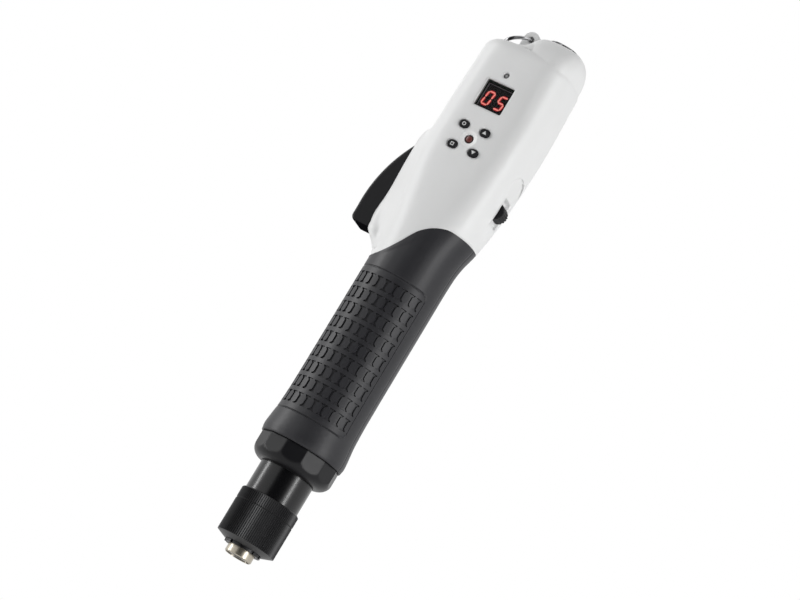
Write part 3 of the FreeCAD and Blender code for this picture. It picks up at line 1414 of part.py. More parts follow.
def control_board():
    """Rear board with the power chips and the reservoir capacitor on its inner face."""
    high = Z_SHOULDER - CONTROL_TOP_DROP
    low = high - CONTROL_HEIGHT
    board = block(
        (-CONTROL_HALF_WIDTH, CONTROL_HALF_WIDTH),
        (CONTROL_SETBACK, CONTROL_SETBACK + BOARD_THICKNESS),
        (low, high),
    )
    chips = []
    for i in range(POWER_CHIPS):
        x = CHIP_PITCH * (i % 2 - 0.5)
        z = low + CHIP_PITCH * (i // 2 + 1)
        chips.append(
            block(
                (x - CHIP_SIZE / 2, x + CHIP_SIZE / 2),
                (CONTROL_SETBACK - CHIP_THICKNESS, CONTROL_SETBACK),
                (z - CHIP_SIZE / 2, z + CHIP_SIZE / 2),
            )
        )
    capacitor = upright(
        CAPACITOR_RADIUS,
        high - CAPACITOR_LENGTH - CHIP_PITCH,
        high - CHIP_PITCH,
        -CHIP_PITCH,
        CONTROL_SETBACK - CAPACITOR_RADIUS,
    )
    return Part.Compound([board, capacitor] + chips)


# Hanger and connector


def lug_neck(grow, low, high):
    return block(
        (-LUG_SIDE - LUG_HALF_WIDTH - grow, -LUG_SIDE + LUG_HALF_WIDTH + grow),
        (-LUG_HALF_DEPTH - grow, LUG_HALF_DEPTH + grow),
        (low, high),
    )


def hanger_lug():
    """Hanging eye with a foot trapped under the top wall."""
    foot_top = Z_TOP - WALL - RUN_GAP
    neck = lug_neck(0, foot_top - LUG_FOOT_THICKNESS, Z_LUG_EYE)
    foot = block(
        (-LUG_SIDE - LUG_HALF_WIDTH - LUG_FOOT_OVERHANG, -LUG_SIDE + LUG_HALF_WIDTH + LUG_FOOT_OVERHANG),
        (-LUG_HALF_DEPTH - LUG_FOOT_OVERHANG, LUG_HALF_DEPTH + LUG_FOOT_OVERHANG),
        (foot_top - LUG_FOOT_THICKNESS, foot_top),
    )
    crown = lying(LUG_HALF_WIDTH, -LUG_HALF_DEPTH, LUG_HALF_DEPTH, -LUG_SIDE, Z_LUG_EYE)
    eye = lying(LUG_EYE_RADIUS, -LUG_HALF_DEPTH - OVERRUN, LUG_HALF_DEPTH + OVERRUN, -LUG_SIDE, Z_LUG_EYE)
    return neck.fuse([foot, crown]).cut(eye).removeSplitter()


def hanger_ring():
    """Wire ring through the eye, leaning over the lever-side shoulder."""
    lean = math.radians(HANGER_LEAN)
    along = Vector(-math.cos(lean), 0, -math.sin(lean))
    middle = Vector(-LUG_SIDE, 0, Z_LUG_EYE) + along * HANGER_RADIUS
    return Part.makeTorus(HANGER_RADIUS, HANGER_WIRE_RADIUS, middle, along.cross(Vector(0, 1, 0)))


def barrel_collar(grow):
    """Collar that the shells trap, grown by a clearance."""
    low = Z_BARREL_TOP - BARREL_COLLAR_DROP - grow
    radius = BARREL_RADIUS + BARREL_COLLAR_RIM + grow
    return upright(radius, low, low + BARREL_COLLAR_HEIGHT + 2 * grow, BOSS_CENTRE)


def connector_barrel():
    barrel = upright(BARREL_RADIUS, Z_BARREL, Z_BARREL_TOP, BOSS_CENTRE)
    rim = [edge for edge in barrel.Edges if edge.BoundBox.ZMin > Z_BARREL_TOP - BARREL_EDGE]
    barrel = barrel.makeChamfer(BARREL_EDGE, rim)
    bore = upright(BARREL_RADIUS - BARREL_WALL, Z_BARREL - OVERRUN, Z_BARREL_TOP + OVERRUN, BOSS_CENTRE)
    socket = upright(SOCKET_RADIUS, Z_BARREL_TOP - SOCKET_DEPTH, Z_BARREL_TOP + OVERRUN, BOSS_CENTRE)
    return barrel.fuse(barrel_collar(0)).cut([bore, socket]).removeSplitter()


def contact_places():
    """X and Y of the contact pins."""
    places = []
    for i in range(CONTACT_PINS):
        turn = 2 * math.pi * i / CONTACT_PINS
        places.append((BOSS_CENTRE + CONTACT_CIRCLE * math.cos(turn), CONTACT_CIRCLE * math.sin(turn)))
    return places


def connector_insert():
    high = Z_BARREL + INSERT_THICKNESS
    disc = upright(BARREL_RADIUS - BARREL_WALL - RUN_GAP, Z_BARREL, high, BOSS_CENTRE)
    holes = [upright(CONTACT_RADIUS + RUN_GAP, Z_BARREL - OVERRUN, high + OVERRUN, x, y) for x, y in contact_places()]
    return disc.cut(holes)


def connector_pins():
    high = Z_BARREL + INSERT_THICKNESS + CONTACT_RISE
    return Part.Compound([upright(CONTACT_RADIUS, Z_BARREL, high, x, y) for x, y in contact_places()])


# White shells


def screw_places():
    """X and Z of the housing screws."""
    places = [(-SCREW_SIDE_SHARE * HEAD_LEFT, Z_SHOULDER - drop) for drop in SCREW_LEFT_DROPS]
    return places + [(SCREW_SIDE_SHARE * HEAD_RIGHT, Z_SHOULDER - drop) for drop in SCREW_RIGHT_DROPS]


def housing_screws():
    screws = []
    for x, z in screw_places():
        head = lying(SCREW_HEAD_RADIUS, SCREW_SEAT, SCREW_SEAT + SCREW_HEAD_HEIGHT, x, z)
        screws.append(head.fuse(lying(SCREW_RADIUS, SCREW_SEAT - SCREW_LENGTH, SCREW_SEAT, x, z)))
    return Part.Compound(screws)


def shell_blank():
    """Outside of the front shell: head, lever pod, connector boss and the core under the rubber."""
    outside = front_half(body(0)).fuse([front_half(pod()), front_half(boss())])
    rubber_room = grip_zone(0).cut(front_half(body(RUBBER)))
    neck = front_half(tube(NECK_RADIUS, CORE_BORE, Z_NECK, Z_GRIP + OVERRUN))
    return outside.cut(rubber_room).fuse(neck)


def shell_half():
    """Front shell with the features that both shells share. The rear shell starts as its mirror image."""
    hollow = front_half(cavity())
    bosses = [lying(SCREW_BOSS_RADIUS, 0, -FRONT_INNER, x, z) for x, z in screw_places()]
    posts = hollow.common(Part.Compound(bosses + [front_half(recess_backing())]))
    cheek = front_half(lever_cheeks()).common(hollow)
    shell = shell_blank().cut(hollow).fuse([posts, cheek])
    pin_reach = LEVER_HALF_WIDTH + LEVER_PIN_OVERLAP + FREE_GAP
    cuts = [
        lever_room(),
        lying(LEVER_PIN_RADIUS + RUN_GAP, -pin_reach, pin_reach, -PIVOT_SIDE, Z_PIVOT),
        spring_pocket(),
        thumb_scoop(),
        recess(),
        lug_neck(SEAT_GAP, Z_TOP - WALL - OVERRUN, Z_LUG_EYE + LUG_HALF_WIDTH),
        upright(BARREL_RADIUS + SEAT_GAP, Z_BARREL - OVERRUN, Z_BARREL_TOP + OVERRUN, BOSS_CENTRE),
        barrel_collar(SEAT_GAP),
    ]
    return shell.cut(cuts)


def lever_cheeks():
    """Inner walls beside the lever slot that hold the pivot pin."""
    half_width = LEVER_HALF_WIDTH + FREE_GAP + WALL
    low, high = Z_PIVOT - LEVER_ARM_DROP, Z_PIVOT + LEVER_SLOT_RISE + WALL
    return block((-HEAD_LEFT, -LEVER_WELL_BACK - WALL), (-half_width, half_width), (low, high))


def housing_front(shell):
    """Front shell with the posts and openings of the display and keypad."""
    high = Z_SHOULDER - BOARD_TOP_DROP
    posts = board_posts(
        BOARD_HALF_WIDTH,
        high - BOARD_HEIGHT,
        high,
        BOARD_POST_INSET,
        BOARD_POST_RADIUS,
        -FRONT_INNER - WALL / 2,
        -BOARD_FACE,
    )
    front = shell.fuse(posts).cut(keypad_pocket())
    past = -HEAD_DEPTH - OVERRUN
    cuts = [window(0, past, -FRONT_INNER + OVERRUN)]
    cuts += [key_bar(FREE_GAP, past, -FRONT_INNER + OVERRUN, x, z) for x, z in key_places()]
    cuts += [lying(LAMP_RADIUS + SEAT_GAP, past, -FRONT_INNER + OVERRUN, 0, Z_KEYPAD)]
    cuts += [lying(READY_RADIUS + SEAT_GAP, past, -FRONT_INNER + OVERRUN, 0, Z_READY)]
    cuts += [lying(SCREW_RADIUS + RUN_GAP, SCREW_SEAT - SCREW_LENGTH - FREE_GAP, OVERRUN, x, z) for x, z in screw_places()]
    return front.cut(cuts).cut(lamp_dish()).removeSplitter()


def housing_rear(shell):
    """Rear shell with the posts of the control board and start switch and the screw wells."""
    high = Z_SHOULDER - CONTROL_TOP_DROP
    posts = board_posts(
        CONTROL_HALF_WIDTH,
        high - CONTROL_HEIGHT,
        high,
        CONTROL_POST_INSET,
        CONTROL_POST_RADIUS,
        CONTROL_SETBACK + BOARD_THICKNESS,
        FRONT_INNER + WALL / 2,
    )
    rear = flipped(shell).fuse(posts + switch_posts(SWITCH_POST_RADIUS))
    cuts = []
    for x, z in screw_places():
        cuts.append(lying(SCREW_RADIUS + SEAT_GAP, -OVERRUN, SCREW_SEAT + OVERRUN, x, z))
        cuts.append(lying(SCREW_HEAD_RADIUS + SEAT_GAP, SCREW_SEAT, 2 * HEAD_DEPTH, x, z))
    return rear.cut(cuts).removeSplitter()


def main():
    shell = shell_half()
    grip = grip_front()
    pieces = {
        "bit_sleeve": bit_sleeve,
        "output_spindle": output_spindle,
        "bit_ball": bit_ball,
        "sleeve_clips": sleeve_clips,
        "sleeve_spring": sleeve_spring,
        "torque_ring": torque_ring,
        "lock_ring": lock_ring,
        "clutch_tube": clutch_tube,
        "spring_seat": spring_seat,
        "clutch_spring": clutch_spring,
        "clutch_plate": clutch_plate,
        "clutch_balls": clutch_balls,
        "spindle_bush": spindle_bush,
        "clutch_ring_gear": clutch_ring_gear,
        "output_carrier": output_carrier,
        "first_carrier": first_carrier,
        "first_ring_gear": first_ring_gear,
        "gear_case": gear_case,
        "motor_front_bell": motor_front_bell,
        "motor_rear_bell": motor_rear_bell,
        "motor_bearings": motor_bearings,
        "motor_can": motor_can,
        "stator_core": stator_core,
        "stator_coils": stator_coils,
        "rotor_magnet": rotor_magnet,
        "rotor_shaft": rotor_shaft,
        "retaining_nut": retaining_nut,
        "grip_front": lambda: grip,
        "grip_rear": lambda: flipped(grip),
        "housing_front": lambda: housing_front(shell),
        "housing_rear": lambda: housing_rear(shell),
        "start_lever": start_lever,
        "lever_pin": lever_pin,
        "lever_spring": lever_spring,
        "start_switch": start_switch,
        "start_plunger": start_plunger,
        "reverse_knob": reverse_knob,
        "reverse_switch": reverse_switch,
        "display_window": display_window,
        "display_module": display_module,
        "display_board": display_board,
        "mode_button": lambda: button(0),
        "set_button": lambda: button(1),
        "up_button": lambda: button(2),
        "down_button": lambda: button(3),
        "status_lamp": status_lamp,
        "ready_lamp": ready_lamp,
        "control_board": control_board,
        "hanger_lug": hanger_lug,
        "hanger_ring": hanger_ring,
        "connector_barrel": connector_barrel,
        "connector_insert": connector_insert,
        "connector_pins": connector_pins,
        "housing_screws": housing_screws,
    }
    for number in range(PLANETS):
        pieces[f"second_planet_{number + 1}"] = lambda n=number: planet(n, Z_SECOND_GEARS)
        pieces[f"first_planet_{number + 1}"] = lambda n=number: planet(n, Z_FIRST_GEARS)
    os.makedirs("parts", exist_ok=True)
    for name, make in pieces.items():
        shape = make()
        print(name, len(shape.Solids), round(shape.Volume, 2), shape.isValid())
        shape.exportStep(f"parts/{name}.step")


main()
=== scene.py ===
# %% [markdown]
# An in-line electric screwdriver, as it hangs over an assembly bench: white moulded head, dark rubber
# grip, black clutch nose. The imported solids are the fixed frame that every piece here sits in. Sizes are
# in millimetres until a mesh, a light or a camera is made from them.

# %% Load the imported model
import json
import math

import bpy
import numpy as np
from mathutils import Matrix, Vector
from mathutils.bvhtree import BVHTree


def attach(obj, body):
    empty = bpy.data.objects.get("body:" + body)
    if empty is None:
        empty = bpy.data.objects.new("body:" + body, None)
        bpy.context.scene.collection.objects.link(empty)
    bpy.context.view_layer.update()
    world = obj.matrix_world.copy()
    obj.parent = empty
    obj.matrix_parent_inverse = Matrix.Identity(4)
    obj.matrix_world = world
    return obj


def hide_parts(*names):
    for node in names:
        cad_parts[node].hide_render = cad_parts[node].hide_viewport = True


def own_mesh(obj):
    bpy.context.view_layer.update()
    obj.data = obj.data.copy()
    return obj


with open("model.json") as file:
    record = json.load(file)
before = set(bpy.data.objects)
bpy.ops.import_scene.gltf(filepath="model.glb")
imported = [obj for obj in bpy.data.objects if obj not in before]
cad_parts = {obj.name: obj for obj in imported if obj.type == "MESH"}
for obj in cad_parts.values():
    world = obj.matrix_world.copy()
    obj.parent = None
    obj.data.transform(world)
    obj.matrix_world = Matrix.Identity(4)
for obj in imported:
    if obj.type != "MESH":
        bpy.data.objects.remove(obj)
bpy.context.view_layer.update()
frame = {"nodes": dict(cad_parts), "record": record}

MM = 0.001
nodes = frame["nodes"]

# %% [markdown]
# Shader maths reads best as sums. This small class wraps a socket, so that `1 - mask` or
# `0.3 + 0.1 * cloud` adds the Math nodes by itself. Every other node comes from its one method `node`,
# which sets the node's settings first and then fills or links its sockets.

# %% A socket that takes part in sums
class Wire:
    def __init__(self, tree, socket):
        self.tree = tree
        self.socket = socket

    def node(self, kind, settings, values, output=0):
        made = self.tree.nodes.new(kind)
        for name, value in settings.items():
            setattr(made, name, value)
        for key, value in values.items():
            if isinstance(value, Wire):
                self.tree.links.new(value.socket, made.inputs[key])
            else:
                made.inputs[key].default_value = value
        return Wire(self.tree, made.outputs[output])

    def sum(self, operation, first, second):
        return self.node("ShaderNodeMath", {"operation": operation}, {0: first, 1: second})

    def __add__(self, other):
        return self.sum("ADD", self, other)

    __radd__ = __add__

    def __sub__(self, other):
        return self.sum("SUBTRACT", self, other)

    def __rsub__(self, other):
        return self.sum("SUBTRACT", other, self)

    def __mul__(self, other):
        return self.sum("MULTIPLY", self, other)

    __rmul__ = __mul__


print("sockets can be added, subtracted and multiplied")

# %% [markdown]
# Every finish is made of noise in the object's own coordinates. Painted maps would need unwrapped meshes,
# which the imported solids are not. These helpers keep a finish down to a few lines: most have a slow cloud
# for colour and gloss and a fine grain for the bump. The Bevel node softens edges that the solids keep
# sharp, without touching their meshes.

# %% Helpers for finishes
# Distances from the parting plane between which the softening of edges sets in
SEAM_NEAR, SEAM_FAR = 2.0, 4.0
BEVEL_SAMPLES = 6


def finish(name, **sockets):
    """A material, its main shader with constant sockets set, and the object's own coordinates as a wire."""
    material = bpy.data.materials.new(name)
    material.use_nodes = True
    tree = material.node_tree
    shader = tree.nodes["Principled BSDF"]
    for key, value in sockets.items():
        shader.inputs[key.replace("_", " ")].default_value = value
    spot = Wire(tree, tree.nodes.new("ShaderNodeTexCoord").outputs["Object"])
    return material, shader, spot


def feed(shader, key, wire):
    wire.tree.links.new(wire.socket, shader.inputs[key])


def laid_over(material, share, second):
    """Mix a second shader over the material's main one, by a share that varies over the surface."""
    tree = material.node_tree
    main = Wire(tree, tree.nodes["Principled BSDF"].outputs[0])
    both = share.node("ShaderNodeMixShader", {}, {0: share, 1: main, 2: second})
    feed(tree.nodes["Material Output"], "Surface", both)


def axis_part(wire, axis):
    return wire.node("ShaderNodeSeparateXYZ", {}, {0: wire}, axis)


def vectors(operation, first, second):
    return first.node("ShaderNodeVectorMath", {"operation": operation}, {0: first, 1: second})


def ramp(wire, low, high):
    """0 below the low value, 1 above the high one, and a straight line between them."""
    return wire.node("ShaderNodeMapRange", {}, {0: wire, 1: low, 2: high})


def noise(spot, scale, detail=2.0, stretch=None):
    """Cloudy value from 0 to 1. The scale is in waves per metre, and stretch slows it along X, Y or Z."""
    if stretch:
        spot = vectors("MULTIPLY", spot, stretch)
    return spot.node("ShaderNodeTexNoise", {}, {"Vector": spot, "Scale": scale, "Detail": detail})


# A Mix node's inputs 4 and 5 are its two vectors, and 6 and 7 its two colours
def between(wire, first, second):
    """Colour from the first to the second, wires or plain colours, as the wire goes from 0 to 1."""
    ends = [end if isinstance(end, Wire) else (*end, 1.0) for end in (first, second)]
    return wire.node("ShaderNodeMix", {"data_type": "RGBA"}, {"Factor": wire, 6: ends[0], 7: ends[1]}, 2)


def softened(wire, radius):
    """Normal with edges rounded over, but not along the parting plane, where the two shells meet flush."""
    spot = wire.node("ShaderNodeTexCoord", {}, {}, "Object")
    off_plane = spot.sum("ABSOLUTE", axis_part(spot, "Y"), 0.0)
    mask = ramp(off_plane, SEAM_NEAR * MM, SEAM_FAR * MM)
    plain = spot.node("ShaderNodeNewGeometry", {}, {}, "Normal")
    round_edge = spot.node("ShaderNodeBevel", {"samples": BEVEL_SAMPLES}, {"Radius": radius * MM})
    return spot.node("ShaderNodeMix", {"data_type": "VECTOR"}, {"Factor": mask, 4: plain, 5: round_edge}, 1)


def bumped(shader, height, strength, depth, round_over=0.0):
    """Fine relief on the shader's normal, with edges rounded over. Depth and radius are in millimetres."""
    values = {"Height": height, "Strength": strength, "Distance": depth * MM}
    if round_over:
        values["Normal"] = softened(height, round_over)
    feed(shader, "Normal", height.node("ShaderNodeBump", {}, values))


print("helpers for finishes are ready")

# %% [markdown]
# The head is a white moulding with a satin skin. Up close such a moulding has a faint spark-eroded
# grain and slow changes of gloss where the wall cooled unevenly, so one slow cloud drives colour and
# roughness and one fast noise drives a very low bump. The rubber is made the same way, darker and with
# a stronger grain.

# %% White moulding and rubber
def white_moulding():
    material, shader, spot = finish("white moulding", IOR=1.5)
    cloud = noise(spot, scale=45.0, detail=3.0)
    grain = noise(spot, scale=6000.0)
    feed(shader, "Base Color", between(cloud, (0.785, 0.79, 0.788), (0.832, 0.836, 0.834)))
    feed(shader, "Roughness", 0.38 + 0.1 * cloud)
    bumped(shader, grain, strength=0.06, depth=0.02, round_over=2.0)
    return material


def grip_rubber():
    material, shader, spot = finish("grip rubber", IOR=1.4)
    cloud = noise(spot, scale=80.0, detail=4.0)
    grain = noise(spot, scale=3500.0, detail=3.0)
    feed(shader, "Base Color", between(cloud, (0.016, 0.016, 0.019), (0.023, 0.023, 0.026)))
    feed(shader, "Roughness", 0.4 + 0.1 * cloud)
    bumped(shader, grain, strength=0.2, depth=0.02)
    return material


white = white_moulding()
rubber = grip_rubber()
print("made", white.name, "and", rubber.name)

# %% [markdown]
# The blacks differ on the real tool: the nut and the lever are smoother mouldings, the slide and keys are
# a satin one, the tube has a polished black coat and the knurled rings are blackened steel. Colour hardly
# tells them apart, so they differ by roughness, refraction and scale of grain. On the lever, a matt black
# is mixed into the faces that look down: painted shade, which keeps the toe dark and free of the floor's
# reflection.

# %% Black plastics and black metals
# Turning marks are noise that is slow round the spindle and quick along it
ROUND_THE_SPINDLE = (0.02, 0.02, 1.0)
# Share of a face's downward direction at which the painted shade of matt black sets in and is complete
PAINTED_SHADE_SHARES = (0.4, 0.7)


def brighter(colour, times):
    return tuple(times * part for part in colour)


def black_moulding(name, colour, rough, grain_scale, grain_depth, bend=1.25, round_over=0.0):
    material, shader, spot = finish(name, IOR=bend)
    cloud = noise(spot, scale=120.0, detail=3.0)
    grain = noise(spot, scale=grain_scale)
    feed(shader, "Base Color", between(cloud, colour, brighter(colour, 1.5)))
    feed(shader, "Roughness", rough + 0.1 * cloud)
    bumped(shader, grain, strength=0.15, depth=grain_depth, round_over=round_over)
    return material


def black_metal(name, colour, metal, rough, turning, bend=1.4):
    """Black-coated metal with fine turning marks round the spindle."""
    material, shader, spot = finish(name, Metallic=metal, IOR=bend)
    cloud = noise(spot, scale=150.0, detail=3.0)
    marks = noise(spot, scale=turning, stretch=ROUND_THE_SPINDLE)
    feed(shader, "Base Color", between(cloud, colour, brighter(colour, 1.6)))
    feed(shader, "Roughness", rough + 0.1 * marks)
    bumped(shader, marks, strength=0.05, depth=0.004)
    return material


def painted_shade_underside(material, colour):
    """Mix a matt black into the faces that look down: painted shade that darkens them."""
    tree = material.node_tree
    facing = Wire(tree, tree.nodes.new("ShaderNodeNewGeometry").outputs["Normal"])
    downward = -1.0 * axis_part(facing, "Z")
    matt = facing.node("ShaderNodeBsdfDiffuse", {}, {"Color": (*colour, 1.0)})
    laid_over(material, ramp(downward, *PAINTED_SHADE_SHARES), matt)


nut_black = black_moulding("glossy black nut", (0.005, 0.005, 0.006), rough=0.3, grain_scale=2500.0,
                           grain_depth=0.006, bend=1.32, round_over=1.3)
satin_black = black_moulding("satin black moulding", (0.009, 0.009, 0.010), rough=0.42, grain_scale=4000.0,
                             grain_depth=0.012)
lever_black = black_moulding("lever moulding", (0.004, 0.004, 0.005), rough=0.3, grain_scale=4000.0,
                             grain_depth=0.008, bend=1.3, round_over=1.4)
# Painted shade: the lever's faces that look down get a matt black
painted_shade_underside(lever_black, (0.006, 0.006, 0.007))
tube_black = black_metal("polished black tube", (0.002, 0.002, 0.0025), metal=0.0, rough=0.2,
                         turning=3000.0, bend=1.45)
ring_black = black_metal("blackened steel", (0.012, 0.012, 0.013), metal=0.2, rough=0.34, turning=2000.0)
print("made the blacks")

# %% [markdown]
# Bright metals: warm nickel on the bit sleeve, chrome on the cable inlet, plain steel inside. Turned
# parts show rings round the spindle, so the noise is squeezed along Z. Polished plating would show them
# as well, but the chrome gets broad dark and light streaks along the spindle in its colour instead: painted
# reflections.

# %% Bright metals and inner finishes
def bright_metal(name, dull, bright, rough, turning):
    material, shader, spot = finish(name, Metallic=1.0)
    cloud = noise(spot, scale=200.0, detail=3.0)
    marks = noise(spot, scale=turning, stretch=ROUND_THE_SPINDLE)
    feed(shader, "Base Color", between(cloud, dull, bright))
    feed(shader, "Roughness", rough + 0.14 * marks)
    bumped(shader, marks, strength=0.12, depth=0.008)
    return material


def chrome_with_painted_reflections():
    material, shader, spot = finish("chrome", Metallic=1.0)
    # Painted reflection: slow noise along the spindle sets dark and light streaks in the chrome's base colour
    painted_reflection = noise(spot, scale=150.0, detail=1.0, stretch=(1.0, 1.0, 0.15))
    feed(shader, "Base Color", between(ramp(painted_reflection, 0.42, 0.58), (0.02, 0.02, 0.022), (0.46, 0.46, 0.47)))
    feed(shader, "Roughness", 0.1 + 0.08 * painted_reflection)
    return material


nickel = bright_metal("warm nickel", (0.36, 0.33, 0.27), (0.48, 0.44, 0.37), 0.26, turning=4000.0)
chrome = chrome_with_painted_reflections()
steel = bright_metal("ground steel", (0.42, 0.42, 0.44), (0.56, 0.56, 0.58), 0.26, turning=3000.0)
spring_wire = bright_metal("drawn spring wire", (0.30, 0.30, 0.32), (0.42, 0.42, 0.44), 0.3, turning=5000.0)
bronze = bright_metal("sintered bronze", (0.48, 0.33, 0.16), (0.62, 0.45, 0.24), 0.34, turning=2500.0)
cast_metal = bright_metal("turned aluminium", (0.50, 0.50, 0.52), (0.62, 0.62, 0.64), 0.3, turning=3500.0)
winding = bright_metal("enamelled copper", (0.50, 0.20, 0.09), (0.66, 0.30, 0.15), 0.28, turning=6000.0)
magnet = black_metal("coated magnet", (0.05, 0.05, 0.055), metal=0.6, rough=0.35, turning=2000.0)
switch_black = black_moulding("moulded switch case", (0.02, 0.02, 0.02), rough=0.45, grain_scale=3000.0,
                              grain_depth=0.02)
board_green = black_moulding("solder resist", (0.01, 0.10, 0.035), rough=0.35, grain_scale=1500.0,
                             grain_depth=0.02)
print("made the bright metals and inner finishes")

# %% [markdown]
# Lenses: the window is a smoked plate that lets the lit digits through, the status lamp is diffused red
# and the lamp above the window is clear. Real glass would need light behind it, so both lamps are solid
# lenses with a darker rim. A slow cloud keeps them and the painted faces from looking flat.

# %% Lenses, lights and painted faces
LAMP_HEIGHT, LAMP_RADIUS = 216.5, 2.1
READY_HEIGHT, READY_RADIUS = 250.9, 1.3
# Shares of a lens's radius at which its dark rim sets in and is complete
LENS_RIM_SHARES = (0.66, 0.84)


def smoked_plate():
    material, shader, spot = finish("smoked window", IOR=1.3, Alpha=0.3)
    cloud = noise(spot, scale=400.0)
    feed(shader, "Base Color", between(cloud, (0.004, 0.003, 0.004), (0.007, 0.006, 0.006)))
    feed(shader, "Roughness", 0.08 + 0.06 * cloud)
    return material


def rimmed_lens(name, height, radius, dark, pale, rim, rough):
    """A round lens on the front with a darker rim. The height and radius are in millimetres."""
    material, shader, spot = finish(name, IOR=1.45)
    off_middle = vectors("SUBTRACT", spot, (0, 0, height * MM))
    flat = vectors("MULTIPLY", off_middle, (1, 0, 1))
    far = flat.node("ShaderNodeVectorMath", {"operation": "LENGTH"}, {0: flat}, "Value")
    edge = ramp(far, *[share * radius * MM for share in LENS_RIM_SHARES])
    cloud = noise(spot, scale=900.0, detail=3.0)
    feed(shader, "Base Color", between(edge, between(cloud, dark, pale), rim))
    feed(shader, "Roughness", rough + 0.1 * cloud)
    return material


def painted(name, dark, bright, glow=0.0):
    """A face of slightly uneven colour, which also shines in that colour where it has a glow."""
    material, shader, spot = finish(name, Roughness=0.5, Emission_Strength=glow)
    colour = between(noise(spot, scale=700.0), dark, bright)
    feed(shader, "Base Color", colour)
    feed(shader, "Emission Color", colour)
    return material


smoked = smoked_plate()
red_lens = rimmed_lens("diffused red lens", LAMP_HEIGHT, LAMP_RADIUS, dark=(0.055, 0.008, 0.006),
                       pale=(0.17, 0.028, 0.02), rim=(0.008, 0.005, 0.005), rough=0.3)
clear_lens = rimmed_lens("clear lens", READY_HEIGHT, READY_RADIUS, dark=(0.22, 0.22, 0.22),
                         pale=(0.42, 0.42, 0.42), rim=(0.05, 0.05, 0.05), rough=0.15)
display_black = black_moulding("display face", (0.004, 0.004, 0.004), rough=0.4, grain_scale=3000.0,
                               grain_depth=0.002)
digit_red = painted("lit red digit", (1.00, 0.27, 0.22), (1.00, 0.38, 0.32), glow=1.3)
halo_red = painted("glow round the digits", (0.52, 0.004, 0.012), (0.66, 0.010, 0.020), glow=1.0)
rim_grey = painted("moulded display rim", (0.24, 0.24, 0.245), (0.36, 0.36, 0.365))
# The dish's colour is a lighter white than the shell's moulding: a painted highlight
dish_painted_highlight = painted("dish with painted highlight", (0.88, 0.885, 0.88), (0.93, 0.93, 0.925))
mark_white = painted("printed white mark", (0.60, 0.61, 0.60), (0.74, 0.75, 0.74))
print("made the lenses, lights and painted faces")

# %% [markdown]
# The record names a slot for every solid, and each slot has its finish. Five solids look unlike the rest
# of their slot: the nut and lever are glossier, the tube is polished, and the inlet and wire ring are
# chromed. A second, shorter table holds those.

# %% Give every solid its finish
finishes = {
    "white_plastic": white,
    "grip_rubber": rubber,
    "black_plastic": satin_black,
    "black_metal": ring_black,
    "nickel": nickel,
    "steel": steel,
    "spring_steel": spring_wire,
    "bronze": bronze,
    "motor_metal": cast_metal,
    "copper": winding,
    "magnet": magnet,
    "smoked_window": smoked,
    "display_face": display_black,
    "red_lens": red_lens,
    "clear_lens": clear_lens,
    "switch_plastic": switch_black,
    "circuit_board": board_green,
}
own_finishes = {
    "retaining_nut": nut_black,
    "clutch_tube": tube_black,
    "start_lever": lever_black,
    "connector_barrel": chrome,
    "hanger_ring": chrome,
}


def dress(piece, material):
    piece.data.materials.clear()
    piece.data.materials.append(material)


for part in frame["record"]["subparts"]:
    node = part["node"]
    dress(nodes[node], own_finishes.get(node, finishes[part["material_slot"]]))

# %% [markdown]
# The rubber grip is moulded over the lower shells, with an outline groove round a panel of slots shaped
# like a capital I. Cutting over two hundred slots by booleans is slow and shades badly, so the skin is
# one grid of quads whose upright lines swing out round each slot's feet. A slot is then only a few grid
# points pushed in. First come the values and the outer form, the same ovals as the solids have.

# %% Outer form of the grip
Z_GRIP, BODY_HEIGHT, GRIP_RADIUS, FOOT_FLARE = 55.8, 206.0, 19.4, 1.65
HEAD_LEFT, HEAD_RIGHT, HEAD_DEPTH = 23.9, 25.5, 20.5
# Share of the height, then foot flare, left, right and depth growth, and squareness
FORM_SHARES = np.array([
    (0.000, 0.72, 0.00, 0.00, 0.00, 0.00), (0.015, 1.00, 0.00, 0.00, 0.00, 0.00),
    (0.039, 0.72, 0.00, 0.00, 0.00, 0.00), (0.073, 0.27, 0.00, 0.00, 0.00, 0.00),
    (0.132, 0.04, 0.00, 0.00, 0.00, 0.00), (0.235, 0.00, 0.00, 0.00, 0.00, 0.00),
    (0.455, 0.00, 0.00, 0.00, 0.00, 0.00), (0.504, 0.00, 0.00, 0.03, 0.00, 0.02),
    (0.538, 0.00, 0.10, 0.17, 0.10, 0.07), (0.567, 0.00, 0.25, 0.42, 0.25, 0.15),
    (0.597, 0.00, 0.45, 0.60, 0.45, 0.27), (0.650, 0.00, 0.75, 0.78, 0.75, 0.54),
])
WAIST_HEIGHT = 110.0


def eased(x, xs, ys):
    """Smooth curve through points that never overshoots them."""
    slopes = np.diff(ys) / np.diff(xs)
    bends = np.zeros(len(xs))
    same = slopes[1:] * slopes[:-1] > 0
    bends[1:-1][same] = 2 / (1 / slopes[1:][same] + 1 / slopes[:-1][same])
    i = np.clip(np.searchsorted(xs, x) - 1, 0, len(xs) - 2)
    width = xs[i + 1] - xs[i]
    t = np.clip((x - xs[i]) / width, 0, 1)
    start = ys[i] * (1 + 2 * t) + width * bends[i] * t
    end = ys[i + 1] * (3 - 2 * t) - width * bends[i + 1] * (1 - t)
    return start * (1 - t) ** 2 + end * t ** 2


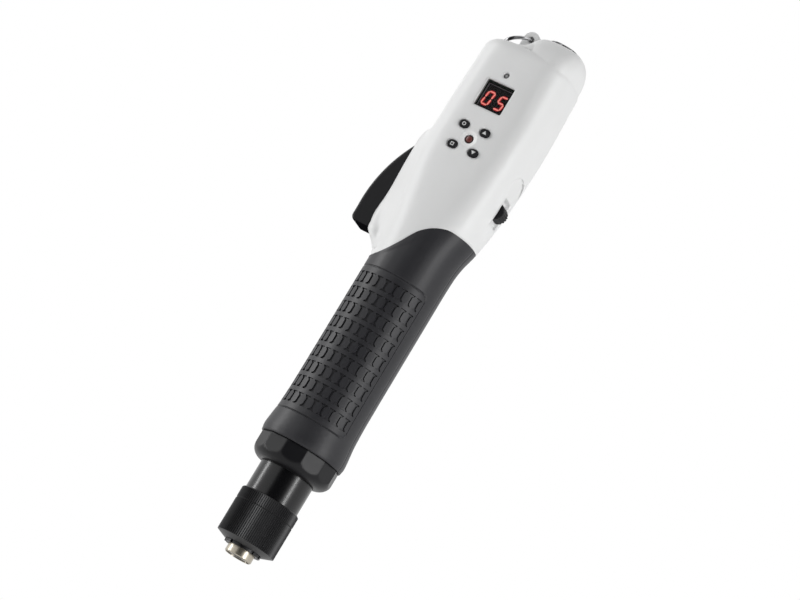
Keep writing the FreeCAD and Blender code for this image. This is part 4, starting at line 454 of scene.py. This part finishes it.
def form_radius(turn, z):
    """Distance from the axis to the outer form, by turn from the display side and height."""
    share = (z - Z_GRIP) / BODY_HEIGHT
    places, *growths = FORM_SHARES.T
    foot, left, right, deep, square = [eased(share, places, growth) for growth in growths]
    radius = GRIP_RADIUS + foot * FOOT_FLARE
    wide = np.where(turn < 0, left * (HEAD_LEFT - GRIP_RADIUS), right * (HEAD_RIGHT - GRIP_RADIUS)) + radius
    deep = deep * (HEAD_DEPTH - GRIP_RADIUS) + radius
    power = 2 + square
    return (np.abs(np.sin(turn) / wide) ** power + np.abs(np.cos(turn) / deep) ** power) ** (-1 / power)


print("radius at the waist", round(float(form_radius(np.array(0.0), np.array(WAIST_HEIGHT))), 2), "mm")

# %% [markdown]
# The upright lines of the grid: each slot brings five lines, which stand close together along its stem
# and swing out at its feet. The groove at the panel's right edge brings a few more. Lines are placed by
# their turn from the display side, and the swing is a length along the skin.

# %% Lines of the grip's grid
SLOT_ROWS, SLOT_COLUMNS, SLOT_PITCH, SLOT_TURN = 9, 12, 7.98, 12.85
SLOT_FIRST_TURN, SLOT_FOOT, SLOT_HEIGHT = 57.0, 71.6, 5.7
# Rows from just under a slot's foot up to its middle, as heights above the foot
SLOT_STEPS = (-0.1, 0.1, 0.4, 0.6, 0.85, 1.15, 1.6, 2.85)
# A slot's lines: side of the swing, side of the lip, and whether the line lies on the slot's floor
SLOT_LINES = ((-1, -1, 0), (-1, 1, 1), (0, 0, 1), (1, -1, 1), (1, 1, 0))
LEFT_TURNS = (-90.0, -89.6)
GROOVE_TURNS = (62.6, 63.4, 64.2, 64.9, 65.5, 65.9, 66.3, 66.7, 67.1, 67.5, 68.1, 69.5)
RIGHT_TURNS = (72.0, 75.0, 78.0, 81.0, 84.0, 87.0, 89.6, 90.0)
FOOT_ROWS = (55.8, 56.05, 57.0, 58.2, 59.4, 60.8, 62.3, 64.0, 65.8,
             67.0, 67.6, 67.9, 68.1, 68.3, 68.5, 68.8, 69.4, 70.4)
PANEL_TOP_ROWS = (141.9, 142.5, 143.1, 143.6, 143.9, 144.2, 144.4, 144.6, 144.8, 145.1, 145.6, 146.4)


def plain_lines(*turns):
    return [(turn, 0, 0, 0) for turn in turns]


columns = plain_lines(*LEFT_TURNS)
for slot in reversed(range(SLOT_COLUMNS)):
    middle = SLOT_FIRST_TURN - SLOT_TURN * slot
    columns += [(middle, *line) for line in SLOT_LINES]
    if slot:
        columns += plain_lines(middle + SLOT_TURN / 2)
columns += plain_lines(*GROOVE_TURNS, *RIGHT_TURNS)

rows = list(FOOT_ROWS)
sunk_rows = []
steps = SLOT_STEPS + tuple(SLOT_HEIGHT - step for step in reversed(SLOT_STEPS[:-1]))
for slot in range(SLOT_ROWS):
    low = SLOT_FOOT + SLOT_PITCH * slot
    sunk_rows += range(len(rows) + 1, len(rows) + len(steps) - 1)
    rows += [low + step for step in steps]
    if slot < SLOT_ROWS - 1:
        rows.append(low + (SLOT_HEIGHT + SLOT_PITCH) / 2)
rows += PANEL_TOP_ROWS
print(len(columns), "upright lines,", len(rows), "rows up to the panel's top")

# %% [markdown]
# Nearly every piece added here is a closed sheet: an outer grid of points, the same grid further in, and
# four rims between them. A Solidify modifier would do for flat ones, but here each point's depth is known,
# so both grids are given and the mesh comes out closed with no modifier left on it.

# %% Closed sheets
SHARP_ANGLE = 40.0


def added(name, data):
    piece = bpy.data.objects.new(name, data)
    bpy.context.scene.collection.objects.link(piece)
    return piece


def quads(grid):
    """Faces between the neighbours in a grid of point numbers."""
    return np.stack([grid[:-1, :-1], grid[:-1, 1:], grid[1:, 1:], grid[1:, :-1]], -1).reshape(-1, 4)


def closed_sheets(name, sheets):
    """Solids between pairs of grids of points in millimetres, an outer and an inner grid for each."""
    points, faces, used = [], [], 0
    for outer, inner in sheets:
        tall, wide = outer.shape[:2]
        near = np.arange(tall * wide).reshape(tall, wide) + used
        far = near + tall * wide
        used += 2 * tall * wide
        points += [outer.reshape(-1, 3), inner.reshape(-1, 3)]
        rims = [(near[0], far[0]), (far[-1], near[-1]), (far[:, 0], near[:, 0]), (near[:, -1], far[:, -1])]
        faces += [quads(near), quads(far)[:, ::-1]] + [quads(np.stack(rim, 1)) for rim in rims]
    mesh = bpy.data.meshes.new(name)
    mesh.from_pydata((np.concatenate(points) * MM).tolist(), [], np.concatenate(faces).tolist())
    return added(name, mesh)


def smooth(piece, degrees):
    piece.data.shade_smooth()
    piece.data.set_sharp_from_angle(angle=math.radians(degrees))


print("closed sheets can be made")

# %% [markdown]
# Above the panel the rows spread up to the rubber's sweeping edge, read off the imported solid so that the
# two meet. Where the smooth sweep of the real edge runs higher than the solid, a thin lip carries it on.
# Slots and groove are depths by place on the skin.

# %% Edge, slots and groove of the rubber
EDGE_LOW, EDGE_HIGH, EDGE_PASSES = 149.4, 175.1, 8
# Place across as a share of the grip's radius, then share of the rise from the low to the high edge
EDGE_SHARES = np.array([
    (-1.00, 0.00), (-0.80, 0.02), (-0.60, 0.085), (-0.46, 0.165), (-0.30, 0.29), (-0.145, 0.44), (0.00, 0.61),
    (0.11, 0.72), (0.30, 0.845), (0.464, 0.918), (0.60, 0.962), (0.70, 0.985), (0.87, 0.993), (1.10, 0.993),
])
EDGE_SLACK = 0.001
STEM, SERIF, SERIF_FLAT, SERIF_CURVE, SERIF_POWER = 0.5, 1.5, 0.35, 1.1, 2.2
UNDER_FOOT = 1.0
PANEL_LOW, PANEL_HIGH, PANEL_TURN, PANEL_CORNER = 68.3, 144.5, 66.5, 3.7
GROOVE_WIDTH, GROOVE_DEPTH, GROOVE_STEEPNESS = 0.75, 0.42, 1.6


def edge_curve(node):
    """The upper edge of a solid seen from the front, as places across and heights in millimetres."""
    points = np.array([tuple(v.co) for v in nodes[node].data.vertices]) / MM
    points = points[np.argsort(points[:, 0])]
    top = np.maximum.accumulate(points[:, 2])
    keep = points[:, 2] >= top - EDGE_SLACK
    return points[keep, 0], points[keep, 2]


def upper_edges(node, turn):
    """Heights at each upright line of the solid's edge, and of the sweep where that is higher."""
    across, heights = edge_curve(node)
    x = GRIP_RADIUS * np.sin(turn)
    for _ in range(EDGE_PASSES):
        moulded = np.interp(x, across, heights)
        rise = eased(x / GRIP_RADIUS, EDGE_SHARES[:, 0], EDGE_SHARES[:, 1])
        edge = np.maximum(moulded, EDGE_LOW + (EDGE_HIGH - EDGE_LOW) * rise)
        x = form_radius(turn, edge) * np.sin(turn)
    return moulded, edge


def slot_swing(z):
    """Half width of a slot along its height: wide feet that curve into a thin stem."""
    local = (z - SLOT_FOOT) % SLOT_PITCH
    local = np.where(local > SLOT_HEIGHT + UNDER_FOOT, 0, local)
    near = np.minimum(np.abs(local), np.abs(SLOT_HEIGHT - local))
    curve = np.clip((near - SERIF_FLAT) / SERIF_CURVE, 0, 1)
    return STEM + (SERIF - STEM) * (1 - curve) ** SERIF_POWER


def groove(turn, z):
    """Depth of the outline groove at a place on the skin."""
    middle, half = (PANEL_LOW + PANEL_HIGH) / 2, (PANEL_HIGH - PANEL_LOW) / 2
    inside_x = PANEL_CORNER - (np.radians(PANEL_TURN) - turn) * GRIP_RADIUS
    inside_z = np.abs(z - middle) - half + PANEL_CORNER
    beyond = np.hypot(np.maximum(inside_x, 0), np.maximum(inside_z, 0))
    corner = beyond + np.minimum(np.maximum(inside_x, inside_z), 0)
    gap = np.abs(corner - PANEL_CORNER)
    return GROOVE_DEPTH * np.clip(GROOVE_STEEPNESS * (1 - 2 * gap / GROOVE_WIDTH), 0, 1)


print("a slot is", 2 * SERIF, "mm wide at its feet and", 2 * STEM, "mm along its stem")

# %% [markdown]
# Both halves of the grip come from one function. The rear one is the mirror image, so its faces are turned
# over. Rims are drawn in a little, because a moulded edge is never sharp.

# %% Grip halves
SLOT_LIP, SLOT_DEPTH, RUBBER_DEPTH = 0.1, 0.66, 1.7
LIP_PROUD, LIP_DEPTH, LIP_OVERLAP = 0.15, 0.12, 0.02
CROWN_ROWS, CROWN_GAP, CROWN_ROUND, EDGE_ROUND = 14, 0.05, 0.12, 0.18


def grip_half(name, node, mirror):
    middle, swing, lip, on_floor = [np.array(part, float)[None, :] for part in zip(*columns)]
    z = np.repeat(np.array(rows)[:, None], len(columns), 1)
    turn = np.radians(middle) + (swing * slot_swing(z) + lip * SLOT_LIP) / GRIP_RADIUS
    moulded, edge = upper_edges(node, turn[-1])
    share = np.append(np.linspace(0, 1, CROWN_ROWS + 1)[1:], 1)[:, None]
    crown = rows[-1] + (edge[None, :] - rows[-1] - CROWN_GAP) * share
    crown[-2] -= CROWN_ROUND
    z = np.concatenate([z, crown])
    turn = np.concatenate([turn, np.repeat(turn[-1:], len(crown), 0)])
    sunk = np.zeros(z.shape, bool)
    sunk[np.ix_(sunk_rows, np.flatnonzero(on_floor))] = True
    depth = np.maximum(groove(turn, z), SLOT_DEPTH * sunk)
    depth[0] += EDGE_ROUND
    depth[:, [0, -1]] += EDGE_ROUND / 2
    over = z > moulded[None, :] - LIP_OVERLAP
    depth = np.where(over, -LIP_PROUD, depth)
    depth[-1] = np.where(over[-1], 0, EDGE_ROUND)
    inner_depth = np.where(over, LIP_DEPTH, RUBBER_DEPTH)
    full = form_radius(turn, z)
    side = 1 if mirror else -1

    def place(radius):
        return np.stack([radius * np.sin(turn), side * radius * np.cos(turn), z], -1)

    piece = closed_sheets(name, [(place(full - depth), place(full - inner_depth))])
    if mirror:
        piece.data.flip_normals()
    dress(piece, rubber)
    smooth(piece, SHARP_ANGLE)
    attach(piece, "housing")
    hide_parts(node)
    return piece


grips = [grip_half("rubber_front", "grip_front", False), grip_half("rubber_rear", "grip_rear", True)]
print("grip halves of", [len(piece.data.polygons) for piece in grips], "faces")

# %% [markdown]
# Where the lever's pod and the cable boss grow out of the head, the real moulding has soft hollows and the
# lofted solids have creases. A film closes each crease: rays cast onto the shells give a grid of depths,
# and the film is a soap skin over that grid. It works on one over the depth, which keeps flat faces flat.
# Away from the hollows it lies just under the shell.

# %% A soap skin over a grid of depths
FILM_PASSES, FILM_SINK, FILM_ROOT, FILM_LEAST = 700, 0.05, 0.6, 8.0
FILM_SHARP_ANGLE = 60.0
CAST_FAR = 60.0


def solid_tree(*names):
    """Search tree over the faces of solids, in millimetres."""
    points, faces = [], []
    for name in names:
        mesh = nodes[name].data
        faces += [[v + len(points) for v in face.vertices] for face in mesh.polygons]
        points += [v.co / MM for v in mesh.vertices]
    return BVHTree.FromPolygons(points, faces)


def film(name, tree, origins, aims, raised=0.0, mirror=False):
    """Skin over hollows seen along a grid of rays, raised here and there. Points are in millimetres."""
    stretch = np.linalg.norm(aims, axis=-1)
    unit = aims / stretch[..., None]
    depth = np.empty(stretch.shape)
    for place in np.ndindex(depth.shape):
        start = origins[place] + CAST_FAR * unit[place]
        depth[place] = CAST_FAR - tree.ray_cast(Vector(start), Vector(-unit[place]))[3]
    depth = np.maximum(depth, FILM_LEAST)
    shell = stretch / (depth + raised)
    skin = shell.copy()
    for _ in range(FILM_PASSES):
        level = skin.copy()
        level[1:-1, 1:-1] = (skin[:-2, 1:-1] + skin[2:, 1:-1] + skin[1:-1, :-2] + skin[1:-1, 2:]) / 4
        skin = np.minimum(shell, level)
    top = stretch / skin
    outer = origins + unit * (top - FILM_SINK)[..., None]
    inner = origins + unit * (depth - FILM_ROOT)[..., None]
    piece = closed_sheets(name, [(outer, inner)])
    if mirror:
        piece.data.flip_normals()
    dress(piece, white)
    smooth(piece, FILM_SHARP_ANGLE)
    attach(piece, "housing")
    print(name, "lies up to", round(float((top - depth).max()), 2), "mm above the shell")
    return piece


print("films are kept", FILM_SINK, "mm under the shell")

# %% [markdown]
# The pod's films fan out from an upright axis inside the head, from the edge of the lever's slot round to
# the front, one on each shell. The boss's film fans out from a point inside the boss, towards the valley
# at its upper front left.

# %% Films over the hollows
POD_TOP_FRONT, POD_TOP_REAR, FILM_STEP, FILM_LINES = 226.0, 217.0, 0.5, 76
LEVER_SLOT_EDGE, FAN_AXIS, FAN_RIGHT = 7.7, -8.0, 0.9
# Middle direction of the fan, to the left and outward
FAN_LEFT, FAN_OUT = 0.77, 0.64
# Height, then how far the pod's lip stands out at the slot
POD_LIP = np.array([
    (153.0, 0.0), (156.0, 0.9), (159.0, 1.8), (160.5, 1.75), (162.0, 1.2), (165.0, 0.3), (168.0, 0.12),
    (180.0, 0.28), (192.0, 0.53), (204.0, 0.8), (210.0, 1.1), (216.0, 0.7), (222.0, 0.0), (230.0, 0.0),
])
POD_LIP_SHARE = 0.6
BOSS_MIDDLE, BOSS_AHEAD = np.array([2.0, 0.0, 252.0]), np.array([-2.0, -12.5, 18.0])
BOSS_ACROSS, BOSS_RISE = np.linspace(-0.75, 0.45, 80), np.linspace(-0.5, 0.22, 60)


def pod_film(name, shell, side, high):
    """Film from the edge of the lever's slot round to the front, fuller at the pod's foot."""
    tree = solid_tree(shell)
    levels = np.arange(POD_LIP[0, 0], high, FILM_STEP)
    starts = [Vector((-CAST_FAR, side * LEVER_SLOT_EDGE, level)) for level in levels]
    edge = np.array([tree.ray_cast(start, Vector((1, 0, 0)))[0].x for start in starts]) - FAN_AXIS
    low = (FAN_OUT * edge + FAN_LEFT * LEVER_SLOT_EDGE) / (FAN_OUT * LEVER_SLOT_EDGE - FAN_LEFT * edge)
    share = np.linspace(0, 1, FILM_LINES)
    across = low[:, None] + (FAN_RIGHT - low[:, None]) * share
    z = np.repeat(levels[:, None], FILM_LINES, 1)
    origins = np.stack([FAN_AXIS + 0 * z, 0 * z, z], -1)
    aims = np.stack([FAN_OUT * across - FAN_LEFT, side * (FAN_OUT + FAN_LEFT * across), 0 * z], -1)
    lip = eased(levels, POD_LIP[:, 0], POD_LIP[:, 1])
    raised = lip[:, None] * np.clip(1 - share / POD_LIP_SHARE, 0, 1) ** 2
    return film(name, tree, origins, aims, raised, side > 0)


def boss_film():
    ahead = BOSS_AHEAD / np.linalg.norm(BOSS_AHEAD)
    rightward = np.array([1.0, 0.0, 0.0]) - ahead[0] * ahead
    rightward /= np.linalg.norm(rightward)
    upward = np.cross(rightward, ahead)
    across, rise = np.meshgrid(BOSS_ACROSS, BOSS_RISE)
    aims = ahead + across[..., None] * rightward + rise[..., None] * upward
    origins = np.broadcast_to(BOSS_MIDDLE, aims.shape)
    return film("boss_film", solid_tree("housing_front", "housing_rear"), origins, aims)


pod_film("pod_film_front", "housing_front", -1, POD_TOP_FRONT)
pod_film("pod_film_rear", "housing_rear", 1, POD_TOP_REAR)
boss_film()

# %% [markdown]
# Two springs are squeezed when the sleeve or the lever moves. Each gets a copy of its imported coil in
# drawn spring wire, attached to the body it moves with, and the imported coil is hidden. A coil rebuilt
# for every pose would keep its wire round, but one mesh has to serve all poses.


def springy(node, body):
    piece = added(node + "_coil", nodes[node].data.copy())
    dress(piece, spring_wire)
    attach(piece, body)
    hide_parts(node)
    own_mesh(piece)
    return piece


coils = [
    springy("sleeve_spring", "spindle"),
    springy("lever_spring", "housing"),
]
print(len(coils), "springs give way")

# %% [markdown]
# Printed marks lie on the crowned keys, so every point of a mark is dropped on its key from the front. A
# mark is one small grid: a ring, a square frame or a triangle. An image texture would do the same, but
# a thin sheet stays sharp close up.

# %% Marks on the keys
KEY_SIDE, KEY_RISE = 5.6, 5.45
MARK_PROUD, MARK_DEPTH, MARK_LINE = 0.03, 0.1, 0.38
RING_RADIUS, RING_STEPS = 0.95, 33
SQUARE_HALF, SQUARE_STEPS = 0.85, 6
ARROW_HALF, ARROW_RISE, ARROW_STEPS = 1.1, 1.7, 8
ARROW_MIDDLE_SHARE, ARROW_TIP_SHARE = 0.42, 0.01


def ring_mark():
    turn = np.linspace(0, 2 * np.pi, RING_STEPS)
    walk = np.stack([np.cos(turn), np.sin(turn)], -1)
    return np.stack([walk * RING_RADIUS, walk * (RING_RADIUS - MARK_LINE)])


def square_mark():
    corners = np.array([(1, -1), (1, 1), (-1, 1), (-1, -1), (1, -1)], float)
    sides = [np.linspace(a, b, SQUARE_STEPS)[:-1] for a, b in zip(corners[:-1], corners[1:])]
    walk = np.concatenate(sides + [corners[-1:]])
    return np.stack([walk * SQUARE_HALF, walk * (SQUARE_HALF - MARK_LINE)])


def arrow_mark(up):
    """Filled triangle that points up or down."""
    share = np.linspace(0, 1, ARROW_STEPS)[:, None]
    wide = np.maximum(1 - share if up else share, ARROW_TIP_SHARE) * ARROW_HALF
    across = np.linspace(-1, 1, ARROW_STEPS)[None, :]
    return np.stack([wide * across, (share - ARROW_MIDDLE_SHARE) * ARROW_RISE + 0 * across], -1)


def front_of(tree, x, z):
    """Place along Y where a ray from the front meets a solid."""
    return tree.ray_cast(Vector((x, -CAST_FAR, z)), Vector((0, 1, 0)))[0].y


def printed(name, key, x, z, grid):
    tree = solid_tree(key)
    spots = grid + np.array([x, z])
    level = np.zeros(spots.shape[:2])
    for place in np.ndindex(level.shape):
        level[place] = front_of(tree, *spots[place])
    outer = np.stack([spots[..., 0], level - MARK_PROUD, spots[..., 1]], -1)
    piece = closed_sheets(name, [(outer, outer + np.array([0, MARK_DEPTH, 0]))])
    dress(piece, mark_white)
    smooth(piece, SHARP_ANGLE)
    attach(piece, key)
    return piece


marks = [
    printed("mode_mark", "mode_button", -KEY_SIDE, LAMP_HEIGHT + KEY_RISE, ring_mark()),
    printed("set_mark", "set_button", -KEY_SIDE, LAMP_HEIGHT - KEY_RISE, square_mark()),
    printed("up_mark", "up_button", KEY_SIDE, LAMP_HEIGHT + KEY_RISE, arrow_mark(True)),
    printed("down_mark", "down_button", KEY_SIDE, LAMP_HEIGHT - KEY_RISE, arrow_mark(False)),
]
print("printed", len(marks), "marks")

# %% [markdown]
# The display shows the digits 05, leaning a little, on the dark module close behind the window. Every lit
# segment is a flat bar with pointed ends, over a wider and fainter one for the glow, because a glow made
# in the compositor would not be part of the model. Two grey strips are the module's rim.

# %% Digits and rim behind the window
Z_DISPLAY, WINDOW_WIDE, WINDOW_TALL = 239.5, 14.8, 14.2
DIGIT_WIDE, DIGIT_TALL, DIGIT_LEAN, DIGIT_DROP = 4.1, 7.6, 0.15, 1.25
SEGMENT_WIDE, SEGMENT_GAP, SEGMENT_POINT = 0.85, 0.08, 0.01
CORE_LINE, GLOW_LINE = 0.6, 1.4
# Place of each digit across the window, then its lit segments
DIGITS = ((-3.0, "abcdef"), (3.75, "acdfg"))
# Left, right, low and high edges of the rim's strips as shares of the window
RIM_STRIP_SHARES = ((0.062, 0.105, 0.07, 0.9), (0.105, 0.935, 0.88, 0.9))
# Front and back of the digits, then of their glow, as shares of the room behind the window
LAYER_SHARES = (0.3, 0.5, 0.6, 0.8)


def segment(letter, line):
    """Grid of a pointed bar in the digit's own frame."""
    side, level = (DIGIT_WIDE - SEGMENT_WIDE) / 2, (DIGIT_TALL - SEGMENT_WIDE) / 2
    upright = letter in "bcef"
    half = (level / 2 if upright else side) - SEGMENT_GAP
    along = np.array([-half, line / 2 - half, half - line / 2, half])
    wide = np.array([SEGMENT_POINT, line / 2, line / 2, SEGMENT_POINT])
    a, c = np.stack([along, along]), np.stack([-wide, wide])
    places = {"a": (0, level), "b": (side, level / 2), "c": (side, -level / 2), "d": (0, -level),
              "e": (-side, -level / 2), "f": (-side, level / 2), "g": (0, 0)}
    x, z = (-c, a) if upright else (a, c)
    return np.stack([x + places[letter][0], z + places[letter][1]], -1)


def digits(line):
    grids = []
    for middle, letters in DIGITS:
        for letter in letters:
            x, z = np.moveaxis(segment(letter, line), -1, 0)
            grids.append(np.stack([x + z * DIGIT_LEAN + middle, z + Z_DISPLAY - DIGIT_DROP], -1))
    return grids


def rim_strip(left, right, low, high):
    x = (np.array([left, right]) - 0.5) * WINDOW_WIDE
    z = (np.array([low, high]) - 0.5) * WINDOW_TALL + Z_DISPLAY
    return np.stack(np.meshgrid(x, z), -1)


def shown(name, grids, front, back, material):
    """Flat piece between two places along Y, from grids of places across and heights."""
    def at(grid, y):
        return np.stack([grid[..., 0], np.full(grid.shape[:2], y), grid[..., 1]], -1)

    piece = closed_sheets(name, [(at(grid, front), at(grid, back)) for grid in grids])
    dress(piece, material)
    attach(piece, "housing")
    return piece


behind_window = max(v.co.y for v in nodes["display_window"].data.vertices) / MM
before_module = min(v.co.y for v in nodes["display_module"].data.vertices) / MM
room = before_module - behind_window
layers = [behind_window + room * share for share in LAYER_SHARES]
shown("digits", digits(CORE_LINE), layers[0], layers[1], digit_red)
shown("digit_glow", digits(GLOW_LINE), layers[2], layers[3], halo_red)
shown("display_rim", [rim_strip(*shares) for shares in RIM_STRIP_SHARES], layers[0], layers[1], rim_grey)
print("digits lie in", round(room, 3), "mm behind the window")

# %% [markdown]
# The dish round the status lamp is the brightest white on the front, and its skin is painted a lighter white
# than the shell's as a painted highlight. A second material on the shell's faces would follow their
# triangles, so a thin skin of its own lies in the dish instead.

# %% Skin in the lamp's dish
DISH_RIM, DISH_WIDE, DISH_NARROW, DISH_DEEP = 4.4, 4.05, 2.2, 0.75
DISH_PROUD, DISH_THICK = 0.02, 0.2
DISH_STEPS, DISH_RINGS = 49, 5


def dish_skin():
    steps, rings = np.linspace(0, 2 * np.pi, DISH_STEPS), np.linspace(DISH_WIDE, DISH_NARROW, DISH_RINGS)
    turn, radius = np.meshgrid(steps, rings)
    tree = solid_tree("housing_front")
    rim = np.mean([front_of(tree, x, LAMP_HEIGHT) for x in (-DISH_RIM, DISH_RIM)])
    deep = (DISH_WIDE - radius) / (DISH_WIDE - DISH_NARROW) * DISH_DEEP
    x, z = radius * np.sin(turn), LAMP_HEIGHT + radius * np.cos(turn)
    grids = [np.stack([x, rim - DISH_PROUD + deep + back, z], -1) for back in (0.0, DISH_THICK)]
    piece = closed_sheets("lamp_dish", [grids])
    dress(piece, dish_painted_highlight)
    smooth(piece, SHARP_ANGLE)
    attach(piece, "housing")
    return piece


print("dish skin of", len(dish_skin().data.polygons), "faces")

# %% [markdown]
# The photograph looks up at the tool a little from below its right front, with the tool leaning over to
# the right. The tool stays upright here and the camera rolls instead. One pixel is 0.457 mm at the tool,
# which sets the focal length for a camera 1.7 m away.

# %% Camera
FRAME_WIDTH = 800
PIXEL = 0.457 * MM
AZIMUTH, ELEVATION, ROLL = math.radians(23.5), math.radians(-10.5), math.radians(31.04)
CAMERA_DISTANCE = 1.7
AIM_HEIGHT = 138.8 * MM
AIM_RIGHT, AIM_DOWN = 6.34 * PIXEL, 2.26 * PIXEL

level_right = Vector((math.cos(AZIMUTH), math.sin(AZIMUTH), 0))
level_back = Vector((math.sin(AZIMUTH), -math.cos(AZIMUTH), 0))
backward = level_back * math.cos(ELEVATION) + Vector((0, 0, math.sin(ELEVATION)))
level_up = backward.cross(level_right)
right = level_right * math.cos(ROLL) + level_up * math.sin(ROLL)
up = level_up * math.cos(ROLL) - level_right * math.sin(ROLL)
aim = Vector((0, 0, AIM_HEIGHT)) + right * AIM_RIGHT - up * AIM_DOWN
camera_data = bpy.data.cameras.new("camera")
camera_data.sensor_width = 36.0
camera_data.lens = camera_data.sensor_width * CAMERA_DISTANCE / (FRAME_WIDTH * PIXEL)
camera_data.clip_end = 20.0
camera = added("camera", camera_data)
camera_place = Matrix((right, up, backward)).transposed().to_4x4()
camera_place.translation = aim + backward * CAMERA_DISTANCE
camera.matrix_world = camera_place
bpy.context.scene.camera = camera
print("lens", round(camera_data.lens, 1), "mm")

# %% [markdown]
# A white studio: a floor well below the hanging tool, and a white world that the camera and the shiny
# metals see at full white. It lights the tool less than it shows, so the white head keeps its shading.
# More lamp light could whiten the background too, but it would wash out the head.

# %% Floor and world
FLOOR_DEPTH, FLOOR_REACH, FLOOR_GLOW = 0.45, 8.0, 0.8
WORLD_LIGHT = 0.39
PURE_WHITE = (1.0, 1.0, 1.0, 1.0)


def plane(name, corners):
    mesh = bpy.data.meshes.new(name)
    mesh.from_pydata(corners, [], [(0, 1, 2, 3)])
    return added(name, mesh)


def seen_ray(wire):
    """1 for rays from the camera, from mirrors and through glass, else 0."""
    path = wire.node("ShaderNodeLightPath", {}, {}, "Is Camera Ray")
    light_path = path.socket.node
    both = path.sum("MAXIMUM", path, Wire(wire.tree, light_path.outputs["Is Glossy Ray"]))
    return path.sum("MAXIMUM", both, Wire(wire.tree, light_path.outputs["Is Transmission Ray"]))


def pale_floor():
    material, shader, spot = finish("pale floor", Roughness=0.9)
    cloud = noise(spot, scale=3.0)
    feed(shader, "Base Color", between(cloud, (0.90, 0.90, 0.90), (0.92, 0.92, 0.92)))
    glow = spot.node("ShaderNodeEmission", {}, {"Color": PURE_WHITE, "Strength": 1.0})
    laid_over(material, FLOOR_GLOW * seen_ray(spot), glow)
    return material


ways = [(-1, -1), (1, -1), (1, 1), (-1, 1)]
floor = plane("floor", [(FLOOR_REACH * x, FLOOR_REACH * y, -FLOOR_DEPTH) for x, y in ways])
dress(floor, pale_floor())

world = bpy.data.worlds.new("white studio")
bpy.context.scene.world = world
world.use_nodes = True
sky = world.node_tree.nodes["Background"]
sky.inputs["Color"].default_value = PURE_WHITE
seen = seen_ray(Wire(world.node_tree, sky.outputs["Background"]))
feed(sky, "Strength", WORLD_LIGHT + (1.0 - WORLD_LIGHT) * seen)
print("floor", FLOOR_DEPTH, "m below the bit, world light", WORLD_LIGHT)

# %% [markdown]
# Two upright soft boxes give the long highlights at both sides of the tube and the rubber. Black gloss
# shows whatever stands in front of it, and a white room would turn it grey, so a dark card stands behind
# the camera, out of its sight, for the blacks and metals to reflect.

# %% Soft boxes and dark card
CARD_AWAY, CARD_WIDE, CARD_TALL = 2.3, 3.0, 4.5


def soft_box(name, across, above, toward, size, power):
    """Area light placed by the camera's right, up and backward directions, aimed at the tool."""
    data = bpy.data.lights.new(name, "AREA")
    data.shape = "RECTANGLE"
    data.size, data.size_y = size
    data.energy = power
    spot = aim + level_right * across + level_up * above + backward * toward
    box_place = (aim - spot).to_track_quat("-Z", "Y").to_matrix().to_4x4()
    box_place.translation = spot
    added(name, data).matrix_world = box_place


def dark_card():
    middle = aim + backward * CARD_AWAY
    across, along = level_right * CARD_WIDE / 2, level_up * CARD_TALL / 2
    card = plane("dark_card", [middle + across * x + along * y for x, y in ways])
    felt = black_moulding("dark felt", (0.012, 0.012, 0.012), rough=0.8, grain_scale=300.0, grain_depth=0.1)
    dress(card, felt)
    card.visible_camera = False


dark_card()
soft_box("left strip", across=-1.10, above=0.15, toward=-0.10, size=(0.16, 1.3), power=8.6)
soft_box("right strip", across=0.86, above=0.15, toward=0.80, size=(0.13, 1.3), power=9.4)
bpy.context.scene.view_settings.view_transform = "Standard"
print("studio ready")
